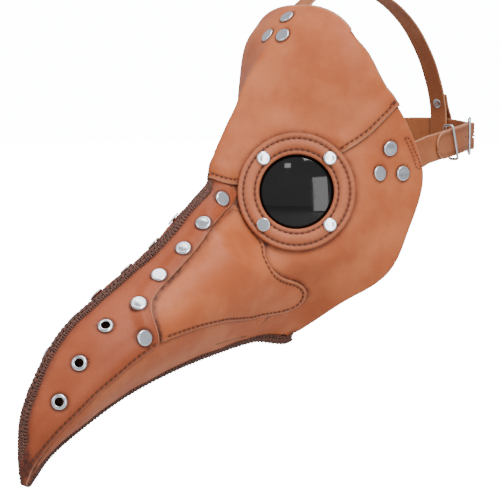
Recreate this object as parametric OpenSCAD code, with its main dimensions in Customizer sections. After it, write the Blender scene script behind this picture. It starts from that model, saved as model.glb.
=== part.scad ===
// Plague doctor mask: a beaked leather half-helmet with round lenses, held on by a
// buckled strap round the head and a second strap over the crown.
// +Z is up, the beak points to -Y and the wearer's left is +X. The origin is the
// middle of the wearer's head at eye level.

/* [Leather] */
// Thickness of the mask panels
panel_t = 2; // [1.6:0.1:2.2]
// Air gap kept between two layers that lie on each other
layer_gap = 0.4; // [0.3:0.05:0.6]
// Radius of the stitched roll along the back and the underside of the beak
lacing_r = 2.4; // [1.6:0.1:2.8]

/* [Eyes] */
// Outer radius of the stitched eye ring
ring_outer_r = 49; // [46:0.5:50]
// Radius of the opening in the eye ring
ring_inner_r = 31; // [28:0.5:33]
// Height of the padded part of the eye ring
ring_h = 4; // [3:0.1:5]
// Radius of the lens disc
lens_r = 36.5; // [35:0.5:38]
// Thickness of the lens
lens_t = 2; // [1.5:0.1:3]
// Radius of the circle of rivets in the eye ring
eye_rivet_circle_r = 39; // [37:0.5:42]

/* [Rivets and eyelets] */
// Radius of a rivet cap on the beak, brow and temples
cap_r = 6.2; // [5:0.1:7]
// Radius of a rivet cap in the eye ring
eye_cap_r = 5.6; // [4.5:0.1:6]
// Height of a rivet cap
cap_h = 2; // [1.4:0.1:3]
// Radius of a rivet's shank
shank_r = 1.6; // [1.2:0.1:2]
// Radius of the hole through a vent eyelet
eyelet_bore_r = 3.5; // [3:0.1:4]
// Radius of an eyelet's flange
eyelet_flange_r = 6.3; // [5.5:0.1:7]

/* [Straps] */
// Width of the strap round the head
strap_w = 24; // [20:0.5:25]
// Width of the strap over the crown
crown_w = 20; // [16:0.5:24]
// Thickness of the straps
strap_t = 1.8; // [1.6:0.1:2]

/* [Buckle] */
// Radius of the buckle's bars
bar_r = 1.3; // [1.1:0.05:1.4]
// Distance from the centre bar to each end bar
bar_pitch = 13; // [12:0.5:15]
// Length of the bars between the side rails
bar_span = 28; // [27:0.5:32]
// Running gap between the tongue's curl and the centre bar
tongue_gap = 0.06; // [0.03:0.01:0.09]
// Radius of the keeper's wire
keeper_wire_r = 0.9; // [0.7:0.05:1.1]

/* [Hidden] */
$fn = 48;
leather = "#b9744c";
strap_leather = "#a8653c";
thread = "#3b241b";
nickel = "#c9c9cc";
smoke = "#15171a";

// ---- The skin of the mask -------------------------------------------------
// Ribs run from the centre line to the free edge or the underside of the beak.
// Each is [centre line y, z, corner x, y, z, far end x, y, z, fullness]. They go
// from the tip of the beak over the root and the brow to the top edge.
ribs = [
    [-354, -211, 2, -353, -211, 0, -351, -211, 0.7],
    [-357, -181, 20, -346, -184, 0, -331, -189, 0.7],
    [-351, -144, 46, -330, -152, 0, -299, -170, 0.7],
    [-319, -94, 72, -296, -114, 0, -256, -150, 0.7],
    [-269, -60, 82, -250, -86, 0, -210, -136, 0.7],
    [-220, -28, 86, -206, -62, 0, -166, -127, 0.7],
    [-189, 0, 88, -176, -40, 0, -122, -121, 0.7],
    [-170, 18, 88, -130, -28, 0, -76, -121, 0.7],
    [-166, 42, 86, -100, -30, 50, -70, -91, 0.7],
    [-155, 63, 84, -82, -20, 83, -42, -62, 0.75],
    [-143, 82, 82, -84, 6, 89, -20, -20, 0.75],
    [-133, 99, 82, -88, 40, 90, -7, 22, 0.72],
    [-121, 114, 80, -98, 74, 88, -26, 66, 0.68],
    [-108, 130, 76, -99, 105, 82, -48, 100, 0.64],
    [-93, 147, 70, -93, 139, 74, -58, 124, 0.62],
    [-72, 165, 52, -74, 168, 64, -66, 140, 0.6]
];
top_u = len(ribs) - 1;

// The four control points of a rib, in one row
function rib_row(r) =
    let (d = [0, r[0], r[1]], k = [r[2], r[3], r[4]], b = [r[5], r[6], r[7]])
    concat(d, d + r[8] * (k - d), b + r[8] * (k - b), b);
rib_rows = [for (r = ribs) rib_row(r)];

// A smooth curve through a list of points or rows, at position t along it
function through(list, t) =
    let (
        n = len(list) - 1,
        i = max(0, min(n - 1, floor(t))),
        f = t - i,
        p1 = list[i],
        p2 = list[i + 1],
        p0 = i > 0 ? list[i - 1] : 2 * p1 - p2,
        p3 = i < n - 1 ? list[i + 2] : 2 * p2 - p1
    )
    0.5 * (2 * p1 + (p2 - p0) * f + (2 * p0 - 5 * p1 + 4 * p2 - p3) * f * f
        + (3 * p1 - p0 - 3 * p2 + p3) * f * f * f);

function part3(row, k) = [row[3 * k], row[3 * k + 1], row[3 * k + 2]];
function unit(a) = a / norm(a);
function mix(a, b, t) = a + (b - a) * t;
function smooth(t) = let (c = max(0, min(1, t))) c * c * (3 - 2 * c);

// Where the eye sits: the middle of its ring, and the way the wearer looks
eye_turn = 50;
eye_lift = 7;
eye_at = [46, -113.4, 9.8];
eye_out = [sin(eye_turn) * cos(eye_lift), -cos(eye_turn) * cos(eye_lift), sin(eye_lift)];
flat_r = 50;
flat_fade_r = 78;

// The face is pressed flat under the eye ring
function pressed(p) =
    let (
        d = (p - eye_at) * eye_out,
        r = norm(p - eye_at - d * eye_out),
        s = smooth((flat_fade_r - r) / (flat_fade_r - flat_r)) * max(0, min(1, p[0] / 14))
    )
    p - s * d * eye_out;

// The forehead is one piece folded over the nose, with a round fold of this radius
fold_radius = 8;
fold_from_u = 7;

// A point of the outer skin: u counts ribs from the tip, v goes from the centre line to the edge
function skin(u, v) =
    let (row = through(rib_rows, u), w = abs(v), c = 1 - w)
    let (
        p0 = part3(row, 0),
        p1 = part3(row, 1),
        p = c * c * c * p0 + 3 * w * c * c * p1
            + 3 * w * w * c * part3(row, 2) + w * w * w * part3(row, 3),
        f = fold_radius * smooth((u - fold_from_u) / 1.2),
        slope = (p1 - p0) / p1[0],
        inset = sqrt(p[0] * p[0] + f * f) - p[0],
        q = pressed(p + inset * [0, slope[1], slope[2]])
    )
    v < 0 ? [-q[0], q[1], q[2]] : q;

// The way out of the skin there
function skin_out(u, v) =
    let (
        e = 0.02,
        u1 = max(0.02, u - e),
        u2 = min(top_u, u + e),
        s = sign(v),
        w = abs(v),
        v1 = max(0.001, w - e),
        v2 = min(1, w + e),
        du = skin(u2, w) - skin(u1, w),
        dv = skin(u, v2) - skin(u, v1),
        n = unit(cross(dv, du))
    )
    [s * n[0], n[1], n[2]];

function raised(u, v, h) = skin(u, v) + h * skin_out(u, v);

// One side's panels never cross the centre plane
seam_half_gap = 0.2;
function own_side(p) = [max(seam_half_gap, p[0]), p[1], p[2]];

// ---- Shells and ribbons ---------------------------------------------------
// Triangles between two grids of points with the same number of rows and columns
function grid_faces(rows, cols) =
    let (n = rows * cols)
    concat(
        [for (i = [0:rows - 2], j = [0:cols - 2], k = [0, 1])
            let (a = i * cols + j, b = a + 1, c = a + cols, d = c + 1)
            k == 0 ? [a, d, b] : [a, c, d]],
        [for (i = [0:rows - 2], j = [0:cols - 2], k = [0, 1])
            let (a = n + i * cols + j, b = a + 1, c = a + cols, d = c + 1)
            k == 0 ? [a, b, d] : [a, d, c]],
        [for (j = [0:cols - 2], e = [0, 1], k = [0, 1])
            let (a = e == 0 ? j : (rows - 1) * cols + j, b = a + 1)
            e == 0
                ? (k == 0 ? [a, b, n + b] : [a, n + b, n + a])
                : (k == 0 ? [a, n + b, b] : [a, n + a, n + b])],
        [for (i = [0:rows - 2], e = [0, 1], k = [0, 1])
            let (a = e == 0 ? i * cols : i * cols + cols - 1, b = a + cols)
            e == 0
                ? (k == 0 ? [a, n + b, b] : [a, n + a, n + b])
                : (k == 0 ? [a, b, n + b] : [a, n + b, n + a])]
    );

// A leather shell over a grid of skin places, from height low to height high
module skin_shell(places, low, high, one_side = true) {
    outer = [for (row = places, p = row) raised(p[0], p[1], high)];
    inner = [for (row = places, p = row) raised(p[0], p[1], low)];
    all = concat(outer, inner);
    polyhedron(
        points = one_side ? [for (p = all) own_side(p)] : all,
        faces = grid_faces(len(places), len(places[0]))
    );
}

// A flat ribbon along a path. Each station is [middle, width], and the width lies along across.
module ribbon(stations, across, t) {
    n = len(stations);
    tangents = [for (i = [0:n - 1])
        unit(stations[min(n - 1, i + 1)][0] - stations[max(0, i - 1)][0])];
    corner = [[-1, 1], [1, 1], [-1, -1], [1, -1]];
    rows = [for (i = [0:n - 1], c = corner)
        let (
            s = stations[i],
            o = unit(cross(across, tangents[i])),
            w = unit(cross(tangents[i], o))
        )
        s[0] + c[0] * s[1] / 2 * w + c[1] * t / 2 * o];
    points = concat(
        [for (i = [0:n - 1], k = [0, 1]) rows[4 * i + k]],
        [for (i = [0:n - 1], k = [2, 3]) rows[4 * i + k]]
    );
    polyhedron(points = points, faces = grid_faces(n, 2));
}

// A round roll along a path in the centre plane
module roll(path, r) {
    sides = 8;
    n = len(path);
    points = [for (i = [0:n - 1], k = [0:sides - 1])
        let (
            t = unit(path[min(n - 1, i + 1)] - path[max(0, i - 1)]),
            o = cross([1, 0, 0], t),
            a = 360 * k / sides
        )
        path[i] + r * (cos(a) * [1, 0, 0] + sin(a) * o)];
    sides_faces = [for (i = [0:n - 2], k = [0:sides - 1], h = [0, 1])
        let (
            a = i * sides + k,
            b = i * sides + (k + 1) % sides,
            c = a + sides,
            d = b + sides
        )
        h == 0 ? [a, d, c] : [a, b, d]];
    polyhedron(
        points = points,
        faces = concat(
            sides_faces,
            [[for (k = [sides - 1:-1:0]) k]],
            [[for (k = [0:sides - 1]) (n - 1) * sides + k]]
        )
    );
}

// ---- Panel outlines on the skin -------------------------------------------
// Lower edge of the riveted strip along the beak, as v at u
strip_edge = [
    [0, 0.36], [0.5, 0.40], [1, 0.50], [2, 0.56], [3, 0.585], [3.75, 0.56], [3.85, 0.44],
    [3.95, 0.33], [4.15, 0.26], [4.5, 0.22], [5, 0.2], [6, 0.2], [6.5, 0.17], [7.1, 0.13]
];
// Upper edge of the cheek panel's long tail under the beak
tail_edge = [
    [0, 0.37], [0.5, 0.41], [1, 0.51], [2, 0.57], [3, 0.595], [3.75, 0.58], [4.3, 0.65],
    [4.8, 0.70], [5.6, 0.79], [6, 0.80]
];
// Lower edge of the forehead panel, as u at v
brow_edge = [
    [0, 7.13], [0.11, 7.42], [0.25, 8.6], [0.4, 10.2], [0.5, 10.8], [0.6, 11.25],
    [0.78, 11.86], [0.9, 12.2], [1, 12.45]
];
seam_gap_u = 0.03;
tip_u = 0.2;
strip_root_u = 7.08;
tail_end_u = 6;
cheek_front_u = 6.3;
cheek_front_v = 0.2;

// Side panel outline, as [u, v]: along the strip, along the tail, and round the back
side_top = [
    [3.8, 0.57], [3.95, 0.36], [4.15, 0.28], [4.5, 0.235], [5.1, 0.215], [5.7, 0.21],
    [6.3, 0.2], [6.75, 0.16]
];
side_low = [
    [3.8, 0.58], [4.3, 0.64], [4.8, 0.70], [5.2, 0.75], [5.6, 0.80], [6, 0.83],
    [6.4, 0.85], [6.85, 0.85]
];
side_back = [
    [6.75, 0.16], [6.54, 0.25], [6.49, 0.34], [6.55, 0.41], [6.52, 0.48], [6.75, 0.6],
    [7.1, 0.7], [7.25, 0.78], [6.85, 0.85]
];
side_front = [[3.8, 0.57], [3.8, 0.58]];

// Height of the side panel's underside over the panels that it is sewn to
side_gap = 0.9;

function span(list, t) = through(list, t * (len(list) - 1));
function patch(s, t) =
    mix(span(side_top, s), span(side_low, s), t)
    + mix(span(side_front, t), span(side_back, t), s)
    - mix(
        mix(side_top[0], side_low[0], t),
        mix(side_back[0], side_back[len(side_back) - 1], t),
        s
    );

// ---- Leather panels -------------------------------------------------------
module lens_hole(r) {
    on_eye() translate([0, 0, -12]) cylinder(r = r, h = 24);
}

module on_eye() {
    translate(eye_at) rotate([0, 0, eye_turn]) rotate([90 - eye_lift, 0, 0]) children();
}

module mirrored() {
    mirror([1, 0, 0]) children();
}

// A breathing slit beside the lower edge of each cheek panel's tail, as [u, v] at its ends
slit_ends = [[4.96, 0.922], [5.82, 0.959]];
slit_w = 1.8;
module breathing_slit() {
    a = skin(slit_ends[0][0], slit_ends[0][1]);
    b = skin(slit_ends[1][0], slit_ends[1][1]);
    m = (a + b) / 2;
    middle = (slit_ends[0] + slit_ends[1]) / 2;
    x = unit(b - a);
    y = unit(cross(skin_out(middle[0], middle[1]), x));
    z = cross(x, y);
    multmatrix([
        [x[0], y[0], z[0], m[0]],
        [x[1], y[1], z[1], m[1]],
        [x[2], y[2], z[2], m[2]],
        [0, 0, 0, 1]
    ]) cube([norm(b - a), slit_w, 9], center = true);
}

module forehead_panel() {
    rows = 18;
    cols = 32;
    places = [for (i = [0:rows])
        [for (j = [0:cols])
            let (v = -1 + 2 * j / cols, start = lookup(abs(v), brow_edge) + seam_gap_u)
            [mix(start, top_u, i / rows), v]]];
    color(leather) difference() {
        skin_shell(places, -panel_t, 0, false);
        lens_hole(ring_inner_r + 0.5);
        mirrored() lens_hole(ring_inner_r + 0.5);
    }
}

module left_cheek_panel() {
    tail_rows = 26;
    cheek_rows = 16;
    cols = 10;
    tail = [for (i = [0:tail_rows])
        let (u = mix(tip_u, tail_end_u, i / tail_rows))
        [for (j = [0:cols]) [u, mix(lookup(u, tail_edge) + 0.006, 1, j / cols)]]];
    cheek = [for (i = [0:cheek_rows])
        [for (j = [0:cols])
            let (v = mix(cheek_front_v, 1, j / cols), end = lookup(v, brow_edge) - seam_gap_u)
            [mix(cheek_front_u, end, i / cheek_rows), v]]];
    color(leather) difference() {
        skin_shell(concat(tail, cheek), -panel_t, 0);
        lens_hole(ring_inner_r + 0.5);
        breathing_slit();
    }
}

module right_cheek_panel() {
    mirrored() left_cheek_panel();
}

module left_side_panel() {
    rows = 24;
    cols = 10;
    places = [for (i = [0:rows]) [for (j = [0:cols]) patch(i / rows, j / cols)]];
    color(leather) skin_shell(places, side_gap, side_gap + panel_t);
}

module right_side_panel() {
    mirrored() left_side_panel();
}

// Places of the fasteners on the beak strip, as [u, v]
beak_rivet_at = [[6.7, 0.085], [5.81, 0.115], [5.12, 0.12], [4.5, 0.14], [3.95, 0.2], [3.6, 0.43]];
eyelet_at = [[3.42, 0.165], [2.77, 0.215], [2.18, 0.27]];
temple_rivet_at = [[11.35, 0.805], [10.71, 0.725], [10.89, 0.865]];
brow_rivet_at = [[14.45, 0], [13.68, 0.075], [13.68, -0.075]];

// Turns a child so that its own Z stands out of the skin at a place
module on_skin(at) {
    p = skin(at[0], at[1]);
    n = skin_out(at[0], at[1]);
    translate(p) rotate([0, acos(n[2]), atan2(n[1], n[0])]) children();
}

module left_beak_strip() {
    rows = 34;
    cols = 5;
    places = [for (i = [0:rows])
        let (u = mix(tip_u, strip_root_u, i / rows), edge = lookup(u, strip_edge) - 0.006)
        [for (j = [0:cols]) [u, edge * j / cols]]];
    color(leather) difference() {
        skin_shell(places, -panel_t, 0);
        for (at = eyelet_at) on_skin(at) translate([0, 0, -6])
            cylinder(r = eyelet_tube_r + 0.1, h = 12);
    }
}

module right_beak_strip() {
    mirrored() left_beak_strip();
}

// ---- Lacing along the beak ------------------------------------------------
// The rolls stand just clear of the strips' edges on the centre plane
lacing_clear = 0.8;
keel_clear = 1.4;
function away(a, b) = unit(a - b);
function ridge(u) = part3(through(rib_rows, u), 0);
function keel(u) = part3(through(rib_rows, u), 3);

module dorsal_lacing() {
    steps = 44;
    path = [for (i = [0:steps])
        let (u = mix(tip_u, 7.05, i / steps))
        ridge(u) + (lacing_r + lacing_clear) * away(ridge(u), keel(u))];
    color(thread) roll(path, lacing_r);
}

module ventral_lacing() {
    steps = 44;
    path = [for (i = [0:steps])
        let (u = mix(tip_u, 6.95, i / steps))
        keel(u) + (lacing_r + keel_clear) * away(keel(u), ridge(u))];
    color(thread) roll(path, lacing_r);
}

// ---- Eyes -----------------------------------------------------------------
lens_gap = 0.2;
lens_dome_r = 120;
retainer_outer_r = 45;
retainer_t = 2;
lens_top = -panel_t - lens_gap;
retainer_top = lens_top - lens_t - lens_gap;

module left_eye_ring() {
    rim = ring_inner_r;
    edge = ring_outer_r;
    base = layer_gap;
    profile = [
        [rim, base], [rim, base + 2.2], [rim + 1.5, base + 2.7], [rim + 3.8, base + 2.1],
        [rim + 6, base + ring_h - 0.5], [rim + 8.5, base + ring_h], [rim + 11, base + ring_h - 0.6],
        [edge - 4.6, base + 1.9], [edge - 1, base + 1.7], [edge, base + 1], [edge, base]
    ];
    color(leather) on_eye() difference() {
        rotate_extrude() polygon(profile);
        for (a = [45:90:315]) rotate([0, 0, a]) translate([eye_rivet_circle_r, 0, -1])
            cylinder(r = shank_r + 0.1, h = 8);
    }
}

module right_eye_ring() {
    mirrored() left_eye_ring();
}

module left_lens() {
    rim_r = ring_inner_r - 0.6;
    steps = 8;
    dome = [for (k = [0:steps]) let (r = rim_r * (1 - k / steps))
        [r, sqrt(lens_dome_r * lens_dome_r - r * r) - sqrt(lens_dome_r * lens_dome_r - rim_r * rim_r)]];
    outer = [for (d = dome) [d[0], lens_top + d[1]]];
    inner = [for (k = [steps:-1:0]) [dome[k][0], lens_top - lens_t + dome[k][1]]];
    color(smoke) on_eye() rotate_extrude()
        polygon(concat([[lens_r, lens_top - lens_t], [lens_r, lens_top]], outer, inner));
}

module right_lens() {
    mirrored() left_lens();
}

module left_lens_retainer() {
    color(leather) on_eye() translate([0, 0, retainer_top - retainer_t]) difference() {
        cylinder(r = retainer_outer_r, h = retainer_t);
        translate([0, 0, -1]) cylinder(r = ring_inner_r, h = retainer_t + 2);
        for (a = [45:90:315]) rotate([0, 0, a]) translate([eye_rivet_circle_r, 0, -1])
            cylinder(r = shank_r + 0.1, h = retainer_t + 2);
    }
}

module right_lens_retainer() {
    mirrored() left_lens_retainer();
}

// ---- Rivets and eyelets ---------------------------------------------------
back_h = 1.2;
back_r = 4.6;

// A domed cap that sits at height seat with its shank running down to height end
module rivet(r, seat, end) {
    rotate_extrude() polygon([
        [0, end], [shank_r, end], [shank_r, seat], [r, seat], [r, seat + 0.5 * cap_h],
        [0.86 * r, seat + 0.82 * cap_h], [0.5 * r, seat + 0.97 * cap_h], [0, seat + cap_h]
    ]);
}

// The washer-shaped back of a rivet, its upper face at height top
module rivet_back(top) {
    rotate_extrude() polygon([
        [0, top - back_h], [0.7 * back_r, top - back_h], [back_r, top - 0.4 * back_h],
        [back_r, top], [0, top]
    ]);
}

// Heights of the leather under the caps
beak_seat = 0.2;
beak_back = -panel_t - 0.3;
eye_seat = layer_gap + ring_h - 0.2;
eye_back = retainer_top - retainer_t - 0.2;
strap_under = panel_t + layer_gap + strap_t / 2;
temple_back = -panel_t - layer_gap - strap_t - 0.3;

module rivet_set(places, r, seat, end) {
    color(nickel) for (at = places) on_skin(at) rivet(r, seat, end);
}

module back_set(places, top) {
    color(nickel) for (at = places) on_skin(at) rivet_back(top);
}

module eye_circle() {
    on_eye() for (a = [45:90:315]) rotate([0, 0, a]) translate([eye_rivet_circle_r, 0, 0]) children();
}

module left_eye_rivets() {
    color(nickel) eye_circle() rivet(eye_cap_r, eye_seat + 0.3, eye_back);
}

module right_eye_rivets() {
    mirrored() left_eye_rivets();
}

module left_eye_rivet_backs() {
    color(nickel) eye_circle() rivet_back(eye_back - 0.02);
}

module right_eye_rivet_backs() {
    mirrored() left_eye_rivet_backs();
}

module left_beak_rivets() {
    rivet_set(beak_rivet_at, cap_r, beak_seat, beak_back);
}

module right_beak_rivets() {
    mirrored() left_beak_rivets();
}

module left_beak_rivet_backs() {
    back_set(beak_rivet_at, beak_back - 0.02);
}

module right_beak_rivet_backs() {
    mirrored() left_beak_rivet_backs();
}

module left_temple_rivets() {
    rivet_set(temple_rivet_at, cap_r, beak_seat, temple_back);
}

module right_temple_rivets() {
    mirrored() left_temple_rivets();
}

module left_temple_rivet_backs() {
    back_set(temple_rivet_at, temple_back - 0.02);
}

module right_temple_rivet_backs() {
    mirrored() left_temple_rivet_backs();
}

module brow_rivets() {
    rivet_set(brow_rivet_at, cap_r, beak_seat + 0.2, temple_back);
}

module brow_rivet_backs() {
    back_set(brow_rivet_at, temple_back - 0.02);
}

// An eyelet is a flanged tube through the strip, clinched over a washer inside
eyelet_tube_r = 4.1;
eyelet_top = 1.4;
eyelet_foot = -panel_t - 1.8;
washer_t = 0.8;

module left_vent_eyelets() {
    color(nickel) for (at = eyelet_at) on_skin(at) difference() {
        rotate_extrude() polygon([
            [0, eyelet_foot], [eyelet_tube_r, eyelet_foot], [eyelet_tube_r, 0.3], [eyelet_flange_r, 0.3],
            [eyelet_flange_r, 0.7], [eyelet_tube_r + 1.2, eyelet_top], [0, eyelet_top]
        ]);
        translate([0, 0, eyelet_foot - 1]) cylinder(r = eyelet_bore_r, h = 8);
    }
}

module right_vent_eyelets() {
    mirrored() left_vent_eyelets();
}

module left_vent_washers() {
    low = -panel_t - 0.4 - washer_t;
    color(nickel) for (at = eyelet_at) on_skin(at) translate([0, 0, low]) difference() {
        cylinder(r = eyelet_flange_r - 0.3, h = washer_t);
        translate([0, 0, -1]) cylinder(r = eyelet_tube_r + 0.05, h = washer_t + 2);
    }
}

module right_vent_washers() {
    mirrored() left_vent_washers();
}

// ---- Straps ---------------------------------------------------------------
// The buckle's frame of reference: x along the strap to the back, y up, z outward
buckle_at = [54.5, 87.3, 50];
buckle_turn = 132;
along_x = [cos(buckle_turn), sin(buckle_turn), 0];
outward = [sin(buckle_turn), -cos(buckle_turn), 0];
function at_buckle(x, z) = buckle_at + x * along_x + z * outward;

module on_buckle() {
    translate(buckle_at) rotate([90, 0, buckle_turn]) children();
}

fold_r = bar_r + 0.15 + strap_t / 2;
base_z = -3.8;
under_bar_z = 0.8 - bar_r - 0.1 - strap_t / 2;
over_fold_z = fold_r + strap_t + 0.15;

// The end of each side strap lies under its cheek panel, wide enough for three rivets
function strap_root(side) = [for (k = [0:4])
    let (p = raised(mix(10.95, 11.2, k / 4), mix(0.70, 0.99, k / 4), -strap_under))
    [side * p[0], p[1], p[2]]];

function flip(p) = [-p[0], p[1], p[2]];
side_run = [[85.2, 2, 42], [84, 12, 43.5], [81, 24.5, 45.1], [77.5, 38, 46.8], [74, 51.5, 48.5]];

// Stations along a curve through points, with the widths given along it
function stations(points, per, widths) =
    [for (i = [0:(len(points) - 1) * per]) [through(points, i / per), lookup(i / per, widths)]];
up = [0, 0, 1];
side_widths = [[0, 38], [2, 34], [4, strap_w + 1], [5, strap_w]];

// The left strap comes forward from the buckle's centre bar, where its end is folded round
left_points = concat(
    strap_root(1),
    side_run,
    [at_buckle(-22, base_z), at_buckle(-10, base_z), at_buckle(-4, base_z + 0.5)]
);

module left_strap() {
    fold = [for (a = [0:30:180]) [at_buckle(fold_r * sin(a), -fold_r * cos(a)), strap_w]];
    end = [[at_buckle(-5, 0.1), strap_w], [at_buckle(-8, -1.4), strap_w]];
    color(strap_leather) difference() {
        ribbon(concat(stations(left_points, 3, side_widths), fold, end), up, strap_t);
        on_buckle() translate([0, 0, -1]) cube([14, 5, 12], center = true);
    }
}

// The right strap goes round the back of the head, through the buckle and on along the left strap
tail_gap = 0.5;
tail_lift = strap_t + tail_gap;
function lifted(p, q, h) = p + h * unit(cross(unit(q - p), [0, 0, 1]));
right_points = concat(
    strap_root(-1),
    [for (p = side_run) flip(p)],
    [[-66, 69, 50], [-48, 90, 51], [-26, 104, 52], [0, 109, 52], [22, 106, 51]],
    [
        at_buckle(22, base_z + 0.3), at_buckle(bar_pitch, under_bar_z), at_buckle(6, 1.6),
        at_buckle(0, over_fold_z), at_buckle(-6, 1.6), at_buckle(-bar_pitch, under_bar_z),
        at_buckle(-22, base_z + tail_lift)
    ],
    [for (k = [4:-1:1]) let (ahead = k < 4 ? side_run[k + 1] : at_buckle(-22, base_z))
        lifted(side_run[k], ahead, tail_lift)]
);

module right_strap() {
    color(strap_leather) difference() {
        ribbon(stations(right_points, 3, side_widths), up, strap_t);
        on_buckle() translate([0.5, 0, over_fold_z - 1]) cube([9, 4, 8], center = true);
    }
}

// The crown strap runs from the brow rivets over the head and is folded round the right strap
crown_root = [for (u = [13.2, 13.8, 14.4, 14.95]) raised(u, 0, -strap_under)];
crown_points = concat(crown_root, [
    [0, -52, 174], [0, -24, 181], [0, 6, 180], [0, 36, 170], [0, 64, 150],
    [0, 86, 122], [0, 99, 94], [0, 104.5, 74]
]);

// The end of the crown strap, round the right strap and back up over itself
crown_loop = [
    [0, 105.4, 66], [0, 105.6, 52], [0, 105.6, 40], [0, 106.6, 36.8], [0, 109.2, 35.4], [0, 111.8, 36.8],
    [0, 112.8, 40], [0, 112.8, 52], [0, 112.2, 64], [0, 109.8, 70], [0, 107.4, 76], [0, 105, 86]
];

// The crown strap is wide and curved across where it is riveted under the forehead, then flat
crown_root_v = 0.12;
crown_cols = 4;
function crown_across(j) = 2 * j / crown_cols - 1;
crown_free = concat(
    [for (k = [0:(len(crown_points) - len(crown_root) - 1) * 3])
        through(crown_points, len(crown_root) + k / 3)],
    crown_loop
);
function crown_side(k, h) =
    let (
        n = len(crown_free) - 1,
        o = unit(cross([1, 0, 0], crown_free[min(n, k + 1)] - crown_free[max(0, k - 1)]))
    )
    [for (j = [0:crown_cols]) crown_free[k] + [crown_across(j) * crown_w / 2, 0, 0] + h * o];
function crown_rows(h) = concat(
    [for (k = [0:6]) let (u = mix(13.2, 14.95, k / 6))
        for (j = [0:crown_cols]) raised(u, crown_across(j) * crown_root_v, h - strap_under)],
    [for (k = [0:len(crown_free) - 1]) each crown_side(k, h)]
);

module crown_strap() {
    color(strap_leather) polyhedron(
        points = concat(crown_rows(strap_t / 2), crown_rows(-strap_t / 2)),
        faces = grid_faces(7 + len(crown_free), crown_cols + 1)
    );
}

loop_rivet_at = [0, 105.6, 78];
module on_loop() {
    translate(loop_rivet_at) rotate([-80, 0, 0]) children();
}

module crown_loop_rivet() {
    color(nickel) on_loop() rivet(cap_r - 1, 2.6, -2.6);
}

module crown_loop_rivet_back() {
    color(nickel) on_loop() rivet_back(-2.62);
}

// ---- Buckle and keeper ----------------------------------------------------
rail_w = 3;
rail_t = 3;

// A centre-bar buckle: three bars between two side rails
module buckle_frame() {
    color(nickel) on_buckle() {
        for (x = [-bar_pitch, bar_pitch])
            translate([x, 0, 0.8]) rotate([90, 0, 0]) cylinder(r = bar_r, h = bar_span + 1, center = true);
        rotate([90, 0, 0]) cylinder(r = bar_r, h = bar_span + 1, center = true);
        for (y = [-1, 1])
            translate([0, y * (bar_span / 2 + rail_w / 2), 0.4])
                cube([2 * bar_pitch + 2 * bar_r, rail_w, rail_t], center = true);
    }
}

// The tongue: a curl round the centre bar and a prong that rests on the end bar
prong_r = 0.8;
curl_r = bar_r + tongue_gap;
module buckle_tongue() {
    tip_z = 0.8 + bar_r + prong_r + 0.15;
    prong = [[1.4, 1.9], [3.2, 4.6], [5.4, 5.1], [9, 4.4], [bar_pitch + 1.6, tip_z]];
    color(nickel) on_buckle() {
        rotate([90, 0, 0]) difference() {
            cylinder(r = curl_r + 0.9, h = 3, center = true);
            cylinder(r = curl_r, h = 4, center = true);
        }
        for (k = [0:len(prong) - 2]) {
            a = prong[k];
            b = prong[k + 1];
            d = b - a;
            translate([a[0], 0, a[1]]) rotate([0, atan2(d[0], d[1]), 0]) cylinder(r = prong_r, h = norm(d));
            translate([a[0], 0, a[1]]) sphere(r = prong_r);
        }
    }
}

// The keeper: a wire loop round both layers of the strap, slightly askew
keeper_at = side_run[3];
keeper_dir = unit(side_run[4] - side_run[2]);
keeper_turn = atan2(keeper_dir[1], keeper_dir[0]);
keeper_rise = asin(keeper_dir[2]);
keeper_tilt = 12;
keeper_in_h = strap_w + 5;
keeper_in_d = 2 * strap_t + tail_gap + 2;
module strap_keeper() {
    h = keeper_in_h + 2 * keeper_wire_r;
    d = keeper_in_d + 2 * keeper_wire_r;
    tilt = keeper_rise + keeper_tilt;
    color(nickel) translate(keeper_at) rotate([90, 0, keeper_turn]) rotate([0, 0, tilt])
        translate([0, 0, tail_lift / 2]) {
            for (s = [-1, 1]) {
                translate([0, 0, s * d / 2]) rotate([90, 0, 0])
                    cylinder(r = keeper_wire_r, h = h, center = true);
                translate([0, s * h / 2, 0]) cylinder(r = keeper_wire_r, h = d, center = true);
            }
            for (y = [-1, 1], z = [-1, 1]) translate([0, y * h / 2, z * d / 2]) sphere(r = keeper_wire_r);
        }
}

forehead_panel();
left_cheek_panel();
right_cheek_panel();
left_side_panel();
right_side_panel();
left_beak_strip();
right_beak_strip();
dorsal_lacing();
ventral_lacing();
left_eye_ring();
right_eye_ring();
left_lens();
right_lens();
left_lens_retainer();
right_lens_retainer();
left_eye_rivets();
right_eye_rivets();
left_eye_rivet_backs();
right_eye_rivet_backs();
left_beak_rivets();
right_beak_rivets();
left_beak_rivet_backs();
right_beak_rivet_backs();
left_temple_rivets();
right_temple_rivets();
left_temple_rivet_backs();
right_temple_rivet_backs();
brow_rivets();
brow_rivet_backs();
left_vent_eyelets();
right_vent_eyelets();
left_vent_washers();
right_vent_washers();
left_strap();
right_strap();
crown_strap();
crown_loop_rivet();
crown_loop_rivet_back();
buckle_frame();
buckle_tongue();
strap_keeper();
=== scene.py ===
"""A leather plague doctor mask: sewn panels over a long beak, riveted and strapped."""
import math

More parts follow.
